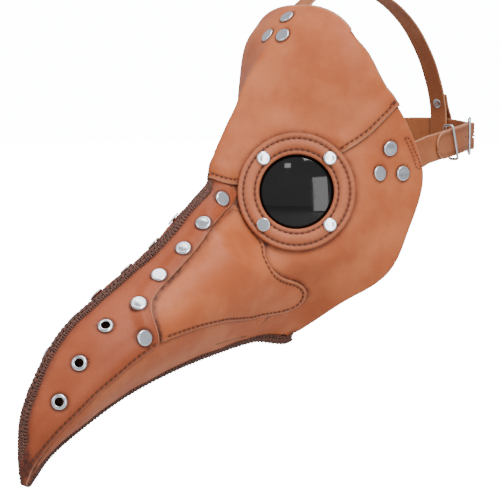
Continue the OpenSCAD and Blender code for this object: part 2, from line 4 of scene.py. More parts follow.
import bpy
import numpy as np
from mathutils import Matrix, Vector


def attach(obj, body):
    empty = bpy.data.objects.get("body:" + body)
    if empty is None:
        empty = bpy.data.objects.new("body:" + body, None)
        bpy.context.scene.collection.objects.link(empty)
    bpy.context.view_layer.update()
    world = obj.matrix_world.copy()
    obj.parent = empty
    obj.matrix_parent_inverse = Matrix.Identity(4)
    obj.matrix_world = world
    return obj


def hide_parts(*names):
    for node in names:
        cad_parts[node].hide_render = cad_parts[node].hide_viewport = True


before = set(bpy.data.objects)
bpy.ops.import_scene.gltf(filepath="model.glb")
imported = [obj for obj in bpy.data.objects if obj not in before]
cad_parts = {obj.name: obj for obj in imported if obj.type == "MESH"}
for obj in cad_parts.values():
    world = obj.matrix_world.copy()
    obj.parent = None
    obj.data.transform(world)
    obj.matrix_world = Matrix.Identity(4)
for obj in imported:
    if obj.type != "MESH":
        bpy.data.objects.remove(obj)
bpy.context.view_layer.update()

MM = 0.001
MASK = "mask"

# ---- The shape of the face -------------------------------------------------
# The same ribs as the leather is cut to, in mm: centre line y z, corner x y z,
# far end x y z, fullness. They run from the tip of the beak to the top edge.
RIBS = [
    [-354, -211, 2, -353, -211, 0, -351, -211, 0.7],
    [-357, -181, 20, -346, -184, 0, -331, -189, 0.7],
    [-351, -144, 46, -330, -152, 0, -299, -170, 0.7],
    [-319, -94, 72, -296, -114, 0, -256, -150, 0.7],
    [-269, -60, 82, -250, -86, 0, -210, -136, 0.7],
    [-220, -28, 86, -206, -62, 0, -166, -127, 0.7],
    [-189, 0, 88, -176, -40, 0, -122, -121, 0.7],
    [-170, 18, 88, -130, -28, 0, -76, -121, 0.7],
    [-166, 42, 86, -100, -30, 50, -70, -91, 0.7],
    [-155, 63, 84, -82, -20, 83, -42, -62, 0.75],
    [-143, 82, 82, -84, 6, 89, -20, -20, 0.75],
    [-133, 99, 82, -88, 40, 90, -7, 22, 0.72],
    [-121, 114, 80, -98, 74, 88, -26, 66, 0.68],
    [-108, 130, 76, -99, 105, 82, -48, 100, 0.64],
    [-93, 147, 70, -93, 139, 74, -58, 124, 0.62],
    [-72, 165, 52, -74, 168, 64, -66, 140, 0.6],
]
TOP_U = len(RIBS) - 1
EYE_AT = np.array([46, -113.4, 9.8])
EYE_TURN, EYE_LIFT = math.radians(50), math.radians(7)
EYE_OUT = np.array([
    math.sin(EYE_TURN) * math.cos(EYE_LIFT),
    -math.cos(EYE_TURN) * math.cos(EYE_LIFT),
    math.sin(EYE_LIFT),
])
EYE_SIDE = np.array([math.cos(EYE_TURN), math.sin(EYE_TURN), 0])
EYE_UP = np.cross(EYE_OUT, EYE_SIDE)
FLAT_R, FLAT_FADE_R = 50, 78
FOLD_R, FOLD_FROM_U = 8, 7
LEATHER_T = 2.0


def rib_rows():
    rows = []
    for r in RIBS:
        d, k, b = np.array([0, r[0], r[1]]), np.array(r[2:5]), np.array(r[5:8])
        rows.append(np.concatenate([d, d + r[8] * (k - d), b + r[8] * (k - b), b]))
    return np.array(rows)


def through(rows, t):
    """A smooth curve through rows of numbers, at positions t along it."""
    rows = np.asarray(rows, float)
    t = np.asarray(t, float)
    last = len(rows) - 1
    i = np.clip(np.floor(t).astype(int), 0, last - 1)
    f = (t - i)[..., None]
    p1, p2 = rows[i], rows[i + 1]
    p0 = np.where((i > 0)[..., None], rows[np.maximum(i - 1, 0)], 2 * p1 - p2)
    p3 = np.where((i < last - 1)[..., None], rows[np.minimum(i + 2, last)], 2 * p2 - p1)
    return 0.5 * (2 * p1 + (p2 - p0) * f + (2 * p0 - 5 * p1 + 4 * p2 - p3) * f * f
                  + (3 * p1 - p0 - 3 * p2 + p3) * f ** 3)


def unit(a):
    return a / np.maximum(np.linalg.norm(a, axis=-1, keepdims=True), 1e-9)


def smooth(t):
    c = np.clip(t, 0, 1)
    return c * c * (3 - 2 * c)


def eye_distance(p):
    """How far each point lies from the middle of the nearer eye, across its face."""
    q = np.array(p, float) * [1, 1, 1]
    q[..., 0] = np.abs(q[..., 0])
    d = (q - EYE_AT) @ EYE_OUT
    return np.linalg.norm(q - EYE_AT - d[..., None] * EYE_OUT, axis=-1)


ROWS = rib_rows()


def skin(u, v):
    """Points of the outer skin: u counts ribs from the tip, v goes from the centre line to the edge."""
    u, v = np.broadcast_arrays(np.asarray(u, float), np.asarray(v, float))
    row = through(ROWS, u)
    w = np.abs(v)[..., None]
    c = 1 - w
    p0, p1 = row[..., 0:3], row[..., 3:6]
    p = c ** 3 * p0 + 3 * w * c * c * p1 + 3 * w * w * c * row[..., 6:9] + w ** 3 * row[..., 9:12]
    fold = FOLD_R * smooth((u - FOLD_FROM_U) / 1.2)
    slope = (p1 - p0) / p1[..., 0:1]
    slope[..., 0] = 0
    p = p + (np.sqrt(p[..., 0] ** 2 + fold ** 2) - p[..., 0])[..., None] * slope
    d = (p - EYE_AT) @ EYE_OUT
    r = np.linalg.norm(p - EYE_AT - d[..., None] * EYE_OUT, axis=-1)
    s = smooth((FLAT_FADE_R - r) / (FLAT_FADE_R - FLAT_R)) * np.clip(p[..., 0] / 14, 0, 1)
    p = p - (s * d)[..., None] * EYE_OUT
    p[..., 0] *= np.where(v < 0, -1, 1)
    return p


def skin_slopes(u, v, step=0.02):
    """How the skin runs along u and along v at each place."""
    w = np.abs(v)
    u1, u2 = np.maximum(0.02, u - step), np.minimum(TOP_U, u + step)
    v1, v2 = np.maximum(0.001, w - step), np.minimum(1, w + step)
    du = (skin(u2, w) - skin(u1, w)) / (u2 - u1)[..., None]
    dv = (skin(u, v2) - skin(u, v1)) / (v2 - v1)[..., None]
    return du, dv


def skin_out(u, v, one_side=True):
    u, v = np.broadcast_arrays(np.asarray(u, float), np.asarray(v, float))
    du, dv = skin_slopes(u, v)
    n = unit(np.cross(dv, du))
    n[..., 0] *= np.where(v < 0, -1, 1) if one_side else np.sign(v)
    return n


def shifted(places, across_mm):
    """Places on the skin moved sideways from a line of places, by mm to the left of its direction."""
    places = np.asarray(places, float)
    u, v = places[:, 0], places[:, 1]
    du, dv = skin_slopes(u, v)
    ahead = unit(np.gradient(skin(u, v), axis=0))
    side = np.cross(unit(np.cross(dv, du)), ahead) * across_mm
    a, b, c = (du * du).sum(1), (du * dv).sum(1), (dv * dv).sum(1)
    x, y = (du * side).sum(1), (dv * side).sum(1)
    det = a * c - b * b
    return np.stack([u + (c * x - b * y) / det, v + (a * y - b * x) / det], 1)


# ---- Outlines of the panels, as places on the skin -------------------------
STRIP_EDGE = np.array([
    [0, 0.36], [0.5, 0.40], [1, 0.50], [2, 0.56], [3, 0.585], [3.72, 0.56], [3.84, 0.41],
    [3.95, 0.31], [4.1, 0.245], [4.3, 0.214], [4.5, 0.2], [5, 0.18], [5.6, 0.172], [6.07, 0.156],
    [6.5, 0.14], [7.1, 0.133], [7.4, 0.13]
])
TAIL_EDGE = np.array([
    [0, 0.37], [0.5, 0.41], [1, 0.51], [2, 0.57], [3, 0.595], [3.75, 0.58], [4.3, 0.65],
    [4.8, 0.70], [5.6, 0.79], [6, 0.80]
])
BROW_EDGE = np.array([
    [0, 7.13], [0.11, 7.42], [0.25, 8.6], [0.4, 10.2], [0.5, 10.8], [0.6, 11.25],
    [0.78, 11.86], [0.9, 12.2], [1, 12.45]
])
SIDE_TOP = [[3.78, 0.54], [3.9, 0.28], [4.1, 0.2], [4.5, 0.16], [5.1, 0.145], [5.7, 0.135],
            [6.3, 0.12], [7.05, 0.115]]
SIDE_LOW = [[3.78, 0.56], [4.08, 0.6], [4.5, 0.66], [5.05, 0.735], [5.4, 0.79], [5.77, 0.83],
            [6.1, 0.843], [6.41, 0.846], [6.7, 0.842]]
SIDE_BACK = [[7.05, 0.115], [6.82, 0.225], [6.69, 0.3], [6.67, 0.375], [6.6, 0.43], [6.5, 0.475],
             [6.47, 0.525], [6.53, 0.585], [6.725, 0.643], [7.02, 0.694], [7.2, 0.737], [7.26, 0.78],
             [7.19, 0.815], [7, 0.833], [6.7, 0.842]]
SIDE_FRONT = [[3.78, 0.54], [3.78, 0.56]]
BEAK_RIVETS = [[6.7, 0.085], [5.81, 0.115], [5.12, 0.12], [4.5, 0.14], [3.95, 0.2], [3.6, 0.43]]
EYELETS = [[3.42, 0.165], [2.77, 0.215], [2.18, 0.27]]
SLIT_ENDS, SLIT_W = [[4.96, 0.922], [5.82, 0.959]], 2.2
TEMPLE_RIVETS = [[11.35, 0.805], [10.71, 0.725], [10.89, 0.865]]
BROW_RIVETS = [[14.45, 0], [13.68, 0.075], [13.68, -0.075]]


def eased(table, x):
    """A value read off a table of corners, with the corners rounded a little."""
    reach = np.linspace(-0.06, 0.06, 5)
    return np.mean([np.interp(x + r, table[:, 0], table[:, 1]) for r in reach], axis=0)


def coons(s, t):
    """Places inside the side panel's outline, s along the beak and t across it."""
    def along(line, k):
        return through(line, k * (len(line) - 1))

    def mix(a, b, k):
        return np.asarray(a) + (np.asarray(b) - np.asarray(a)) * k[..., None]

    return (mix(along(SIDE_TOP, s), along(SIDE_LOW, s), t)
            + mix(along(SIDE_FRONT, t), along(SIDE_BACK, t), s)
            - mix(mix(SIDE_TOP[0], SIDE_LOW[0], t), mix(SIDE_BACK[0], SIDE_BACK[-1], t), s))


# ---- Making meshes ---------------------------------------------------------
class Shape:
    """Points in mm, faces, a finish number for each face and marks for each point."""

    def __init__(self, points, faces, finish=0, **marks):
        self.points = np.asarray(points, float).reshape(-1, 3)
        self.faces = [tuple(int(i) for i in f) for f in faces]
        self.finish = np.broadcast_to(finish, len(self.faces)).astype(int)
        self.marks = {
            k: np.broadcast_to(np.asarray(v, float), len(self.points)) for k, v in marks.items()
        }

    def mirrored(self):
        faces = [f[::-1] for f in self.faces]
        return Shape(self.points * [-1, 1, 1], faces, self.finish, **self.marks)

    def moved(self, at, side, up, out):
        return Shape(self.points @ np.array([side, up, out]) + at, self.faces, self.finish, **self.marks)


def joined(shapes):
    points, faces, finish, marks, start = [], [], [], {}, 0
    names = sorted({k for s in shapes for k in s.marks})
    for s in shapes:
        points.append(s.points)
        faces += [tuple(i + start for i in f) for f in s.faces]
        finish.append(s.finish)
        for k in names:
            marks.setdefault(k, []).append(s.marks.get(k, np.zeros(len(s.points))))
        start += len(s.points)
    return Shape(np.concatenate(points), faces, np.concatenate(finish),
                 **{k: np.concatenate(v) for k, v in marks.items()})


def piece(name, shape, finishes, replaces=(), body=MASK):
    """Turns a shape into an object that rides on a body and stands for its CAD nodes."""
    mesh = bpy.data.meshes.new(name)
    mesh.from_pydata((shape.points * MM).tolist(), [], shape.faces)
    for material in finishes:
        mesh.materials.append(material)
    mesh.polygons.foreach_set("material_index", np.minimum(shape.finish, len(finishes) - 1).tolist())
    for key, values in shape.marks.items():
        mesh.attributes.new(key, "FLOAT", "POINT").data.foreach_set("value", values)
    mesh.shade_smooth()
    mesh.update()
    obj = bpy.data.objects.new(name, mesh)
    bpy.context.scene.collection.objects.link(obj)
    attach(obj, body)
    if replaces:
        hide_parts(*replaces)
    return obj


def pair(name, shape, finishes, node=None):
    """The left piece and its mirror image on the right."""
    for side, s in (("left", shape), ("right", shape.mirrored())):
        piece(f"{side}_{name}", s, finishes, [f"{side}_{node}"] if node else [])


def grid_quads(rows, cols, closed=False):
    i, j = np.meshgrid(np.arange(rows - 1), np.arange(cols if closed else cols - 1), indexing="ij")
    a = (i * cols + j).ravel()
    b = (i * cols + (j + 1) % cols).ravel()
    return np.stack([a, b, b + cols, a + cols], 1)


def to_path(points, path):
    """Distance from each point to a line of points, in chunks."""
    path = np.asarray(path, float)
    a, d = path[:-1], np.diff(path, axis=0)
    size = np.maximum((d * d).sum(1), 1e-9)
    best = np.full(len(points), 1e9)
    for start in range(0, len(points), 2000):
        p = points[start:start + 2000, None, :]
        t = np.clip(((p - a) * d).sum(2) / size, 0, 1)
        gap = p - a - t[..., None] * d
        best[start:start + 2000] = np.sqrt((gap * gap).sum(2).min(1))
    return best


def borders(quads, count):
    """The directed edges that belong to one face only."""
    q = np.asarray(quads)
    a = np.concatenate([q[:, k] for k in range(4)])
    b = np.concatenate([q[:, (k + 1) % 4] for k in range(4)])
    open_edge = ~np.isin(a * count + b, b * count + a)
    return a[open_edge], b[open_edge]


def leather_sheet(outer, normals, quads, thickness=LEATHER_T, round_w=0.9, rings=5, **marks):
    """A cut piece of leather: grain side, flesh side and a rounded edge round every border."""
    count = len(outer)
    a, b = borders(quads, count)
    ahead = unit(outer[b] - outer[a])
    aside = np.cross(ahead, unit(normals[a] + normals[b]))
    out = np.zeros((count, 3))
    np.add.at(out, a, aside)
    np.add.at(out, b, aside)
    rim = np.unique(np.concatenate([a, b]))
    out[rim] = unit(out[rim])
    where = np.full(count, -1)
    where[rim] = np.arange(len(rim))
    body = outer.copy()
    body[rim] -= round_w * out[rim]
    flesh = body - thickness * normals
    points, faces, finish = [body, flesh], [tuple(q) for q in quads], [0] * len(quads)
    faces += [tuple(q[::-1] + count) for q in quads]
    finish += [1] * len(quads)
    for k in range(1, rings):
        turn = math.pi * k / rings
        points.append(body[rim] - normals[rim] * thickness / 2 * (1 - math.cos(turn))
                      + out[rim] * round_w * math.sin(turn))
    steps = [lambda i: i] + [
        (lambda i, k=k: 2 * count + (k - 1) * len(rim) + where[i]) for k in range(1, rings)
    ] + [lambda i: i + count]
    for k in range(rings):
        upper, lower = steps[k], steps[k + 1]
        for i, j in zip(a, b):
            faces.append((upper(j), upper(i), lower(i), lower(j)))
        finish += [2] * len(a)
    made = {}
    for key, values in marks.items():
        values = np.broadcast_to(values, count)
        # Rim faces get edge distance 0, so they take the pale edge colour, a painted highlight with some wear.
        edge = 0 * values[rim] if key == "edge" else values[rim]
        made[key] = np.concatenate([values, values] + [edge] * (rings - 1))
    return Shape(np.concatenate(points), faces, finish, **made)


def tube(path, radius, sides=8, closed=False, squash=1.0, up=None, caps=True):
    """A round bar or thread along a path. squash flattens it along its second direction."""
    path = np.asarray(path, float)
    n = len(path)
    if closed:
        ahead = unit(np.roll(path, -1, 0) - np.roll(path, 1, 0))
    else:
        ahead = unit(np.gradient(path, axis=0))
    radius = np.broadcast_to(radius, n)
    if up is None:
        up = np.array([0, 0, 1.0]) if abs(ahead[0][2]) < 0.8 else np.array([1.0, 0, 0])
        frames = []
        for t in ahead:
            up = unit(up - t * (up @ t))
            frames.append(up)
        up = np.array(frames)
    else:
        up = np.broadcast_to(np.asarray(up, float), (n, 3))
        up = unit(up - ahead * (up * ahead).sum(1)[:, None])
    side = np.cross(ahead, up)
    turn = 2 * math.pi * np.arange(sides) / sides
    ring = side[:, None] * np.cos(turn)[None, :, None] + squash * up[:, None] * np.sin(turn)[None, :, None]
    points = (path[:, None] + radius[:, None, None] * ring).reshape(-1, 3)
    faces = [tuple(q[::-1]) for q in grid_quads(n, sides, closed=True)]
    if closed:
        last = (n - 1) * sides
        faces += [(last + j, j, (j + 1) % sides, last + (j + 1) % sides) for j in range(sides)]
    elif caps:
        faces += [tuple(range(sides)), tuple(range(n * sides - 1, (n - 1) * sides - 1, -1))]
    return Shape(points, faces)


def lathe(profile, sides, lift=None):
    """A turned piece: profile of radius and height, from the middle below round to the middle above."""
    turn = 2 * math.pi * np.arange(sides) / sides
    points = []
    for k, (r, h) in enumerate(profile):
        if r < 1e-6:
            points.append([[0, 0, h]])
            continue
        z = h + (lift(k, turn) if lift else 0 * turn)
        points.append(np.stack([r * np.cos(turn), r * np.sin(turn), z], 1))
    starts = np.cumsum([0] + [len(p) for p in points])
    faces = []
    for k in range(len(points) - 1):
        a, b = starts[k], starts[k + 1]
        one, two = len(points[k]) == 1, len(points[k + 1]) == 1
        for j in range(sides):
            m = (j + 1) % sides
            if one:
                faces.append((a, b + m, b + j))
            elif two:
                faces.append((a + j, a + m, b))
            else:
                faces.append((a + j, a + m, b + m, b + j))
    return Shape(np.concatenate(points), faces)


def resampled(path, pitch):
    """The path at even steps, and the positions of those steps in the old points."""
    step = np.concatenate([[0], np.cumsum(np.linalg.norm(np.diff(path, axis=0), axis=1))])
    count = max(2, int(round(step[-1] / pitch)))
    return np.interp(np.linspace(0, step[-1], count + 1), step, np.arange(len(path)))


def at_index(values, index):
    i = np.clip(np.floor(index).astype(int), 0, len(values) - 2)
    f = (index - i)[:, None]
    return values[i] * (1 - f) + values[i + 1] * f


def stitches(path, normals, pitch=4.6, fill=0.6, thread=0.55, height=0.42, slant=0.0):
    """A row of short thread stitches lying along a path, each end diving into the leather."""
    starts = resampled(path, pitch)
    shapes = []
    profile = [(0, -0.55), (0.14, 0.55), (0.5, 1.0), (0.86, 0.55), (1, -0.55)]
    for k in range(len(starts) - 1):
        span = starts[k + 1] - starts[k]
        idx = np.array([starts[k] + span * (0.5 + fill * (f - 0.5)) for f, _ in profile])
        p, n = at_index(path, idx), unit(at_index(normals, idx))
        side = np.cross(n, unit(p[-1] - p[0]))
        lean = np.linspace(-slant, slant, len(profile))[:, None]
        p = p + n * height * np.array([h for _, h in profile])[:, None] + side * lean
        shapes.append(tube(p, [0.7 * thread, thread, 1.1 * thread, thread, 0.7 * thread], 6, up=n[2]))
    return joined(shapes)


# ---- Finishes --------------------------------------------------------------
def tint(red, green, blue):
    """A paint-chart colour, 0 to 255, as the linear colour that the shaders take."""
    out = []
    for c in (red, green, blue):
        c /= 255
        out.append(c / 12.92 if c <= 0.04045 else ((c + 0.055) / 1.055) ** 2.4)
    return (*out, 1)


def add(tree, kind, sockets=None, **settings):
    """A shader node with its settings, and its sockets set or linked by name."""
    n = tree.nodes.new("ShaderNode" + kind)
    for key, value in settings.items():
        setattr(n, key, value)
    for key, value in (sockets or {}).items():
        if isinstance(value, bpy.types.NodeSocket):
            tree.links.new(value, n.inputs[key])
        else:
            n.inputs[key].default_value = value
    return n


def math_node(tree, operation, a, b=0.0, clamp=False):
    return add(tree, "Math", {0: a, 1: b}, operation=operation, use_clamp=clamp).outputs[0]


def mix_colour(tree, factor, a, b, blend="MIX"):
    n = add(tree, "Mix", {"Factor": factor}, data_type="RGBA", blend_type=blend)
    for key, value in ((6, a), (7, b)):
        if isinstance(value, bpy.types.NodeSocket):
            tree.links.new(value, n.inputs[key])
        else:
            n.inputs[key].default_value = value
    return n.outputs[2]


def ramp(tree, value, low, high, to_low=0.0, to_high=1.0):
    return add(tree, "MapRange", {"Value": value, "From Min": low, "From Max": high,
                                  "To Min": to_low, "To Max": to_high},
               interpolation_type="SMOOTHSTEP").outputs[0]


def new_group(name, inputs, outputs):
    tree = bpy.data.node_groups.new(name, "ShaderNodeTree")
    for label, kind, value in inputs:
        socket = tree.interface.new_socket(label, in_out="INPUT", socket_type="NodeSocket" + kind)
        socket.default_value = value
    for label, kind in outputs:
        tree.interface.new_socket(label, in_out="OUTPUT", socket_type="NodeSocket" + kind)
    return tree, tree.nodes.new("NodeGroupInput").outputs, tree.nodes.new("NodeGroupOutput").inputs


def hide_grain_group():
    """Pores, fine wrinkles and the slow unevenness of a tanned hide."""
    tree, given, result = new_group("Hide grain", [
        ("Pore Scale", "Float", 950.0), ("Wrinkle", "Float", 0.5),
    ], [("Height", "Float"), ("Blotch", "Float"), ("Fleck", "Float")])
    place = add(tree, "TexCoord").outputs["Object"]
    pores = add(tree, "TexVoronoi", {"Vector": place, "Scale": given["Pore Scale"]},
                feature="SMOOTH_F1").outputs["Distance"]
    wrinkle = add(tree, "TexNoise", {"Vector": place, "Scale": 330.0, "Detail": 5.0,
                                     "Roughness": 0.6, "Distortion": 0.8}).outputs[0]
    fleck = add(tree, "TexNoise", {"Vector": place, "Scale": 150.0, "Detail": 4.0,
                                   "Roughness": 0.65}).outputs[0]
    blotch = add(tree, "TexNoise", {"Vector": place, "Scale": 26.0, "Detail": 3.0,
                                    "Roughness": 0.55}).outputs[0]
    height = math_node(tree, "ADD", math_node(tree, "MULTIPLY", pores, 0.55),
                       math_node(tree, "MULTIPLY", wrinkle, given["Wrinkle"]))
    tree.links.new(height, result["Height"])
    tree.links.new(blotch, result["Blotch"])
    tree.links.new(fleck, result["Fleck"])
    return tree


def hide_colour_group():
    """Dye that lies unevenly, darker where it is burnished or sewn, darkened again by painted shadow, and paler at
    the edges by a painted highlight with some wear.
    """
    tree, given, result = new_group("Hide colour", [
        ("Hide", "Color", (0.5, 0.2, 0.1, 1)), ("Pale", "Color", (0.6, 0.3, 0.2, 1)),
        ("Stain And Shade", "Color", (0.1, 0.03, 0.02, 1)), ("Rim", "Color", (0.56, 0.28, 0.17, 1)), ("Blotch", "Float", 0.5),
        ("Fleck", "Float", 0.5), ("Burnish And Shadow", "Float", 0.0), ("Seam", "Float", 0.0),
        ("Edge", "Float", 50.0), ("Edge Wear And Highlight", "Float", 0.5),
    ], [("Color", "Color"), ("Roughness", "Float")])
    patchy = math_node(tree, "MULTIPLY", ramp(tree, given["Blotch"], 0.35, 0.68), 0.62)
    colour = mix_colour(tree, patchy, given["Hide"], given["Pale"])
    dust = math_node(tree, "MULTIPLY", ramp(tree, given["Fleck"], 0.55, 0.8), 0.12)
    colour = mix_colour(tree, dust, colour, given["Stain And Shade"])
    ragged = math_node(tree, "MULTIPLY", given["Fleck"], 1.7)
    # Burnished dye and painted shadow: the burnish mark holds both, and darkens the colour towards the stain
    # colour.
    burn_and_shadow = math_node(tree, "MULTIPLY", given["Burnish And Shadow"], ragged, clamp=True)
    colour = mix_colour(tree, burn_and_shadow, colour, given["Stain And Shade"])
    # Painted highlight with some wear: the rim colour lightens the leather close to its edges, standing for light
    # caught by the edge.
    rim = math_node(tree, "MULTIPLY", ramp(tree, given["Edge"], 1.6, 0.3), given["Edge Wear And Highlight"])
    colour = mix_colour(tree, rim, colour, given["Rim"])
    # The seam mark darkens stitch grooves and paints a contact shadow round each rivet.
    sewn_and_shadowed = math_node(tree, "MULTIPLY", given["Seam"], 0.85, clamp=True)
    colour = mix_colour(tree, sewn_and_shadowed, colour, given["Stain And Shade"])
    rough = math_node(tree, "ADD", math_node(tree, "MULTIPLY", given["Fleck"], 0.24), 0.42)
    tree.links.new(colour, result["Color"])
    tree.links.new(rough, result["Roughness"])
    return tree


HIDE_GRAIN = hide_grain_group()
HIDE_COLOUR = hide_colour_group()


def new_material(name):
    material = bpy.data.materials.new(name)
    material.use_nodes = True
    tree = material.node_tree
    return material, tree, tree.nodes["Principled BSDF"]


def place_group(tree, group, sockets):
    n = tree.nodes.new("ShaderNodeGroup")
    n.node_tree = group
    for key, value in sockets.items():
        if isinstance(value, bpy.types.NodeSocket):
            tree.links.new(value, n.inputs[key])
        else:
            n.inputs[key].default_value = value
    return n.outputs


def mark(tree, name):
    return add(tree, "Attribute", attribute_name=name, attribute_type="GEOMETRY").outputs["Fac"]


def tanned_leather(name, hide, pale, stain_and_shade, pore_scale=950.0, wrinkle=0.5, bump=0.35, edge_wear_and_highlight=0.5):
    material, tree, shader = new_material(name)
    grain = place_group(tree, HIDE_GRAIN, {"Pore Scale": pore_scale, "Wrinkle": wrinkle})
    colour = place_group(tree, HIDE_COLOUR, {
        "Hide": hide, "Pale": pale, "Stain And Shade": stain_and_shade, "Blotch": grain["Blotch"], "Fleck": grain["Fleck"],
        "Burnish And Shadow": mark(tree, "burnish"), "Seam": mark(tree, "seam"), "Edge": mark(tree, "edge"),
        "Edge Wear And Highlight": edge_wear_and_highlight,
    })
    tree.links.new(colour["Color"], shader.inputs["Base Color"])
    tree.links.new(colour["Roughness"], shader.inputs["Roughness"])
    relief = add(tree, "Bump", {"Height": grain["Height"], "Strength": bump, "Distance": 0.0004})
    tree.links.new(relief.outputs[0], shader.inputs["Normal"])
    shader.inputs["Specular IOR Level"].default_value = 0.34
    return material


def flesh_side(name, colour, dark):
    """The undyed inner side of the leather: fibrous and matt."""
    material, tree, shader = new_material(name)
    grain = place_group(tree, HIDE_GRAIN, {"Pore Scale": 500.0, "Wrinkle": 1.4})
    fuzzy = ramp(tree, grain["Fleck"], 0.35, 0.7)
    tree.links.new(mix_colour(tree, fuzzy, colour, dark), shader.inputs["Base Color"])
    relief = add(tree, "Bump", {"Height": grain["Height"], "Strength": 0.6, "Distance": 0.0006})
    tree.links.new(relief.outputs[0], shader.inputs["Normal"])
    shader.inputs["Roughness"].default_value = 0.92
    return material


def waxed_thread(name, colour, sheen_colour):
    material, tree, shader = new_material(name)
    place = add(tree, "TexCoord").outputs["Object"]
    ply = add(tree, "TexNoise", {"Vector": place, "Scale": 900.0, "Detail": 3.0}).outputs[0]
    tree.links.new(mix_colour(tree, ramp(tree, ply, 0.4, 0.65), colour, sheen_colour),
                   shader.inputs["Base Color"])
    relief = add(tree, "Bump", {"Height": ply, "Strength": 0.5, "Distance": 0.0003})
    tree.links.new(relief.outputs[0], shader.inputs["Normal"])
    shader.inputs["Roughness"].default_value = 0.6
    return material


def polished_nickel(name, colour, low, high):
    """Nickel plate with faint handling marks in its polish."""
    material, tree, shader = new_material(name)
    place = add(tree, "TexCoord").outputs["Object"]
    haze = add(tree, "TexNoise", {"Vector": place, "Scale": 260.0, "Detail": 4.0}).outputs[0]
    tree.links.new(ramp(tree, haze, 0.35, 0.75, low, high), shader.inputs["Roughness"])
    shade = mix_colour(tree, ramp(tree, haze, 0.45, 0.8, 0, 0.35), colour, tint(150, 156, 166))
    tree.links.new(shade, shader.inputs["Base Color"])
    shader.inputs["Metallic"].default_value = 1.0
    return material


def smoked_glass(name):
    material, tree, shader = new_material(name)
    place = add(tree, "TexCoord").outputs["Object"]
    smear = add(tree, "TexNoise", {"Vector": place, "Scale": 60.0, "Detail": 3.0}).outputs[0]
    tree.links.new(ramp(tree, smear, 0.4, 0.75, 0.03, 0.09), shader.inputs["Roughness"])
    tree.links.new(mix_colour(tree, smear, tint(12, 12, 11), tint(24, 22, 20)), shader.inputs["Base Color"])
    shader.inputs["Transmission Weight"].default_value = 0.25
    shader.inputs["IOR"].default_value = 1.5
    shader.inputs["Specular IOR Level"].default_value = 0.32
    return material


# Dark stain colour; the shader also uses it to paint shadow under overlapping edges, round the eye rings and round
# rivets.
STAIN_AND_SHADE = tint(62, 26, 16)
panel_hide = tanned_leather("panel_leather_grain", tint(176, 88, 45), tint(198, 114, 70), STAIN_AND_SHADE)
strip_hide = tanned_leather("strip_leather_grain", tint(152, 70, 34), tint(170, 86, 50), STAIN_AND_SHADE)
ring_hide = tanned_leather("ring_leather_grain", tint(168, 90, 54), tint(196, 114, 78), STAIN_AND_SHADE, edge_wear_and_highlight=0.2)
strap_hide = tanned_leather("strap_leather_grain", tint(150, 84, 48), tint(176, 108, 68), STAIN_AND_SHADE,
                            pore_scale=1100.0, bump=0.3)
lining = flesh_side("flesh_side_suede", tint(190, 142, 108), tint(152, 106, 78))
dark_thread = waxed_thread("waxed_brown_thread", tint(66, 34, 24), tint(104, 60, 44))
lace_thread = waxed_thread("edge_lacing_thread", tint(58, 30, 22), tint(112, 66, 48))
nickel = polished_nickel("polished_nickel", tint(214, 218, 224), 0.10, 0.24)
bare_steel = polished_nickel("nickel_backs", tint(190, 192, 196), 0.25, 0.4)
lens_glass = smoked_glass("smoked_lens_glass")
LEATHERS = [panel_hide, lining, panel_hide]


# ---- Leather panels --------------------------------------------------------
def graded(width, near, far, count):
    """Fractions across a row of this width in mm: close lines at both borders, even between."""
    room = near[-1] + far[-1]
    k = min(1.0, 0.75 * width / max(room, 1e-6)) / width
    a, b = k * np.array(near), 1 - k * np.array(far)[::-1]
    return np.concatenate([a, np.linspace(a[-1], b[0], count)[1:-1], b])


def spread(first, last, near, far, count, samples=14):
    """Rows of places between two lines of places, graded by the real distance between them."""
    first, last = np.asarray(first, float), np.asarray(last, float)
    t = np.linspace(0, 1, samples)[None, :, None]
    track = first[:, None] * (1 - t) + last[:, None] * t
    points = skin(track[..., 0], track[..., 1])
    widths = np.linalg.norm(np.diff(points, axis=1), axis=2).sum(1)
    rows = [a + (b - a) * graded(max(w, 0.5), near, far, count)[:, None]
            for a, b, w in zip(first, last, widths)]
    return np.array(rows)


def ripple(p):
    """The hide is never quite flat."""
    x, y, z = np.abs(p[..., 0]), p[..., 1], p[..., 2]
    return 0.22 * np.sin(x / 9.5 + z / 23) * np.sin(y / 13 + 1) + 0.16 * np.sin(y / 6.5 + z / 11 + x / 17)


def bell(d, width):
    return np.exp(-(d / width) ** 2)


def clear_of_eye(p):
    """0 under the eye ring, 1 well outside it."""
    return smooth((eye_distance(p) - 50) / 8)


def inside_row(line, mm, toward):
    """A row this far inside an edge, on the side of a place known to be inside."""
    goal = skin(*toward)
    one, two = shifted(line, mm), shifted(line, -mm)
    near = [np.linalg.norm(skin(r[:, 0], r[:, 1]) - goal, axis=1).mean() for r in (one, two)]
    return one if near[0] < near[1] else two


def on_line(line):
    line = np.asarray(line)
    return skin(line[:, 0], line[:, 1])


u_line = np.linspace(0.1, 7.3, 400)
STRIP_LINE = np.stack([u_line, eased(STRIP_EDGE, u_line)], 1)
v_line = np.linspace(-1, 1, 500)
BROW_LINE = np.stack([eased(BROW_EDGE, np.abs(v_line)), v_line], 1)
s_line = np.linspace(0, 1, 160)
SIDE_LOW_LINE = coons(s_line, 0 * s_line + 1)
SIDE_BACK_LINE = coons(0 * s_line + 1, s_line[::-1])
SIDE_LINE = np.concatenate([SIDE_LOW_LINE, SIDE_BACK_LINE[1:]])
RIDGE_LINE = np.stack([u_line, 0 * u_line], 1)
KEEL_LINE = np.stack([np.linspace(0.1, 7, 400), np.ones(400)], 1)

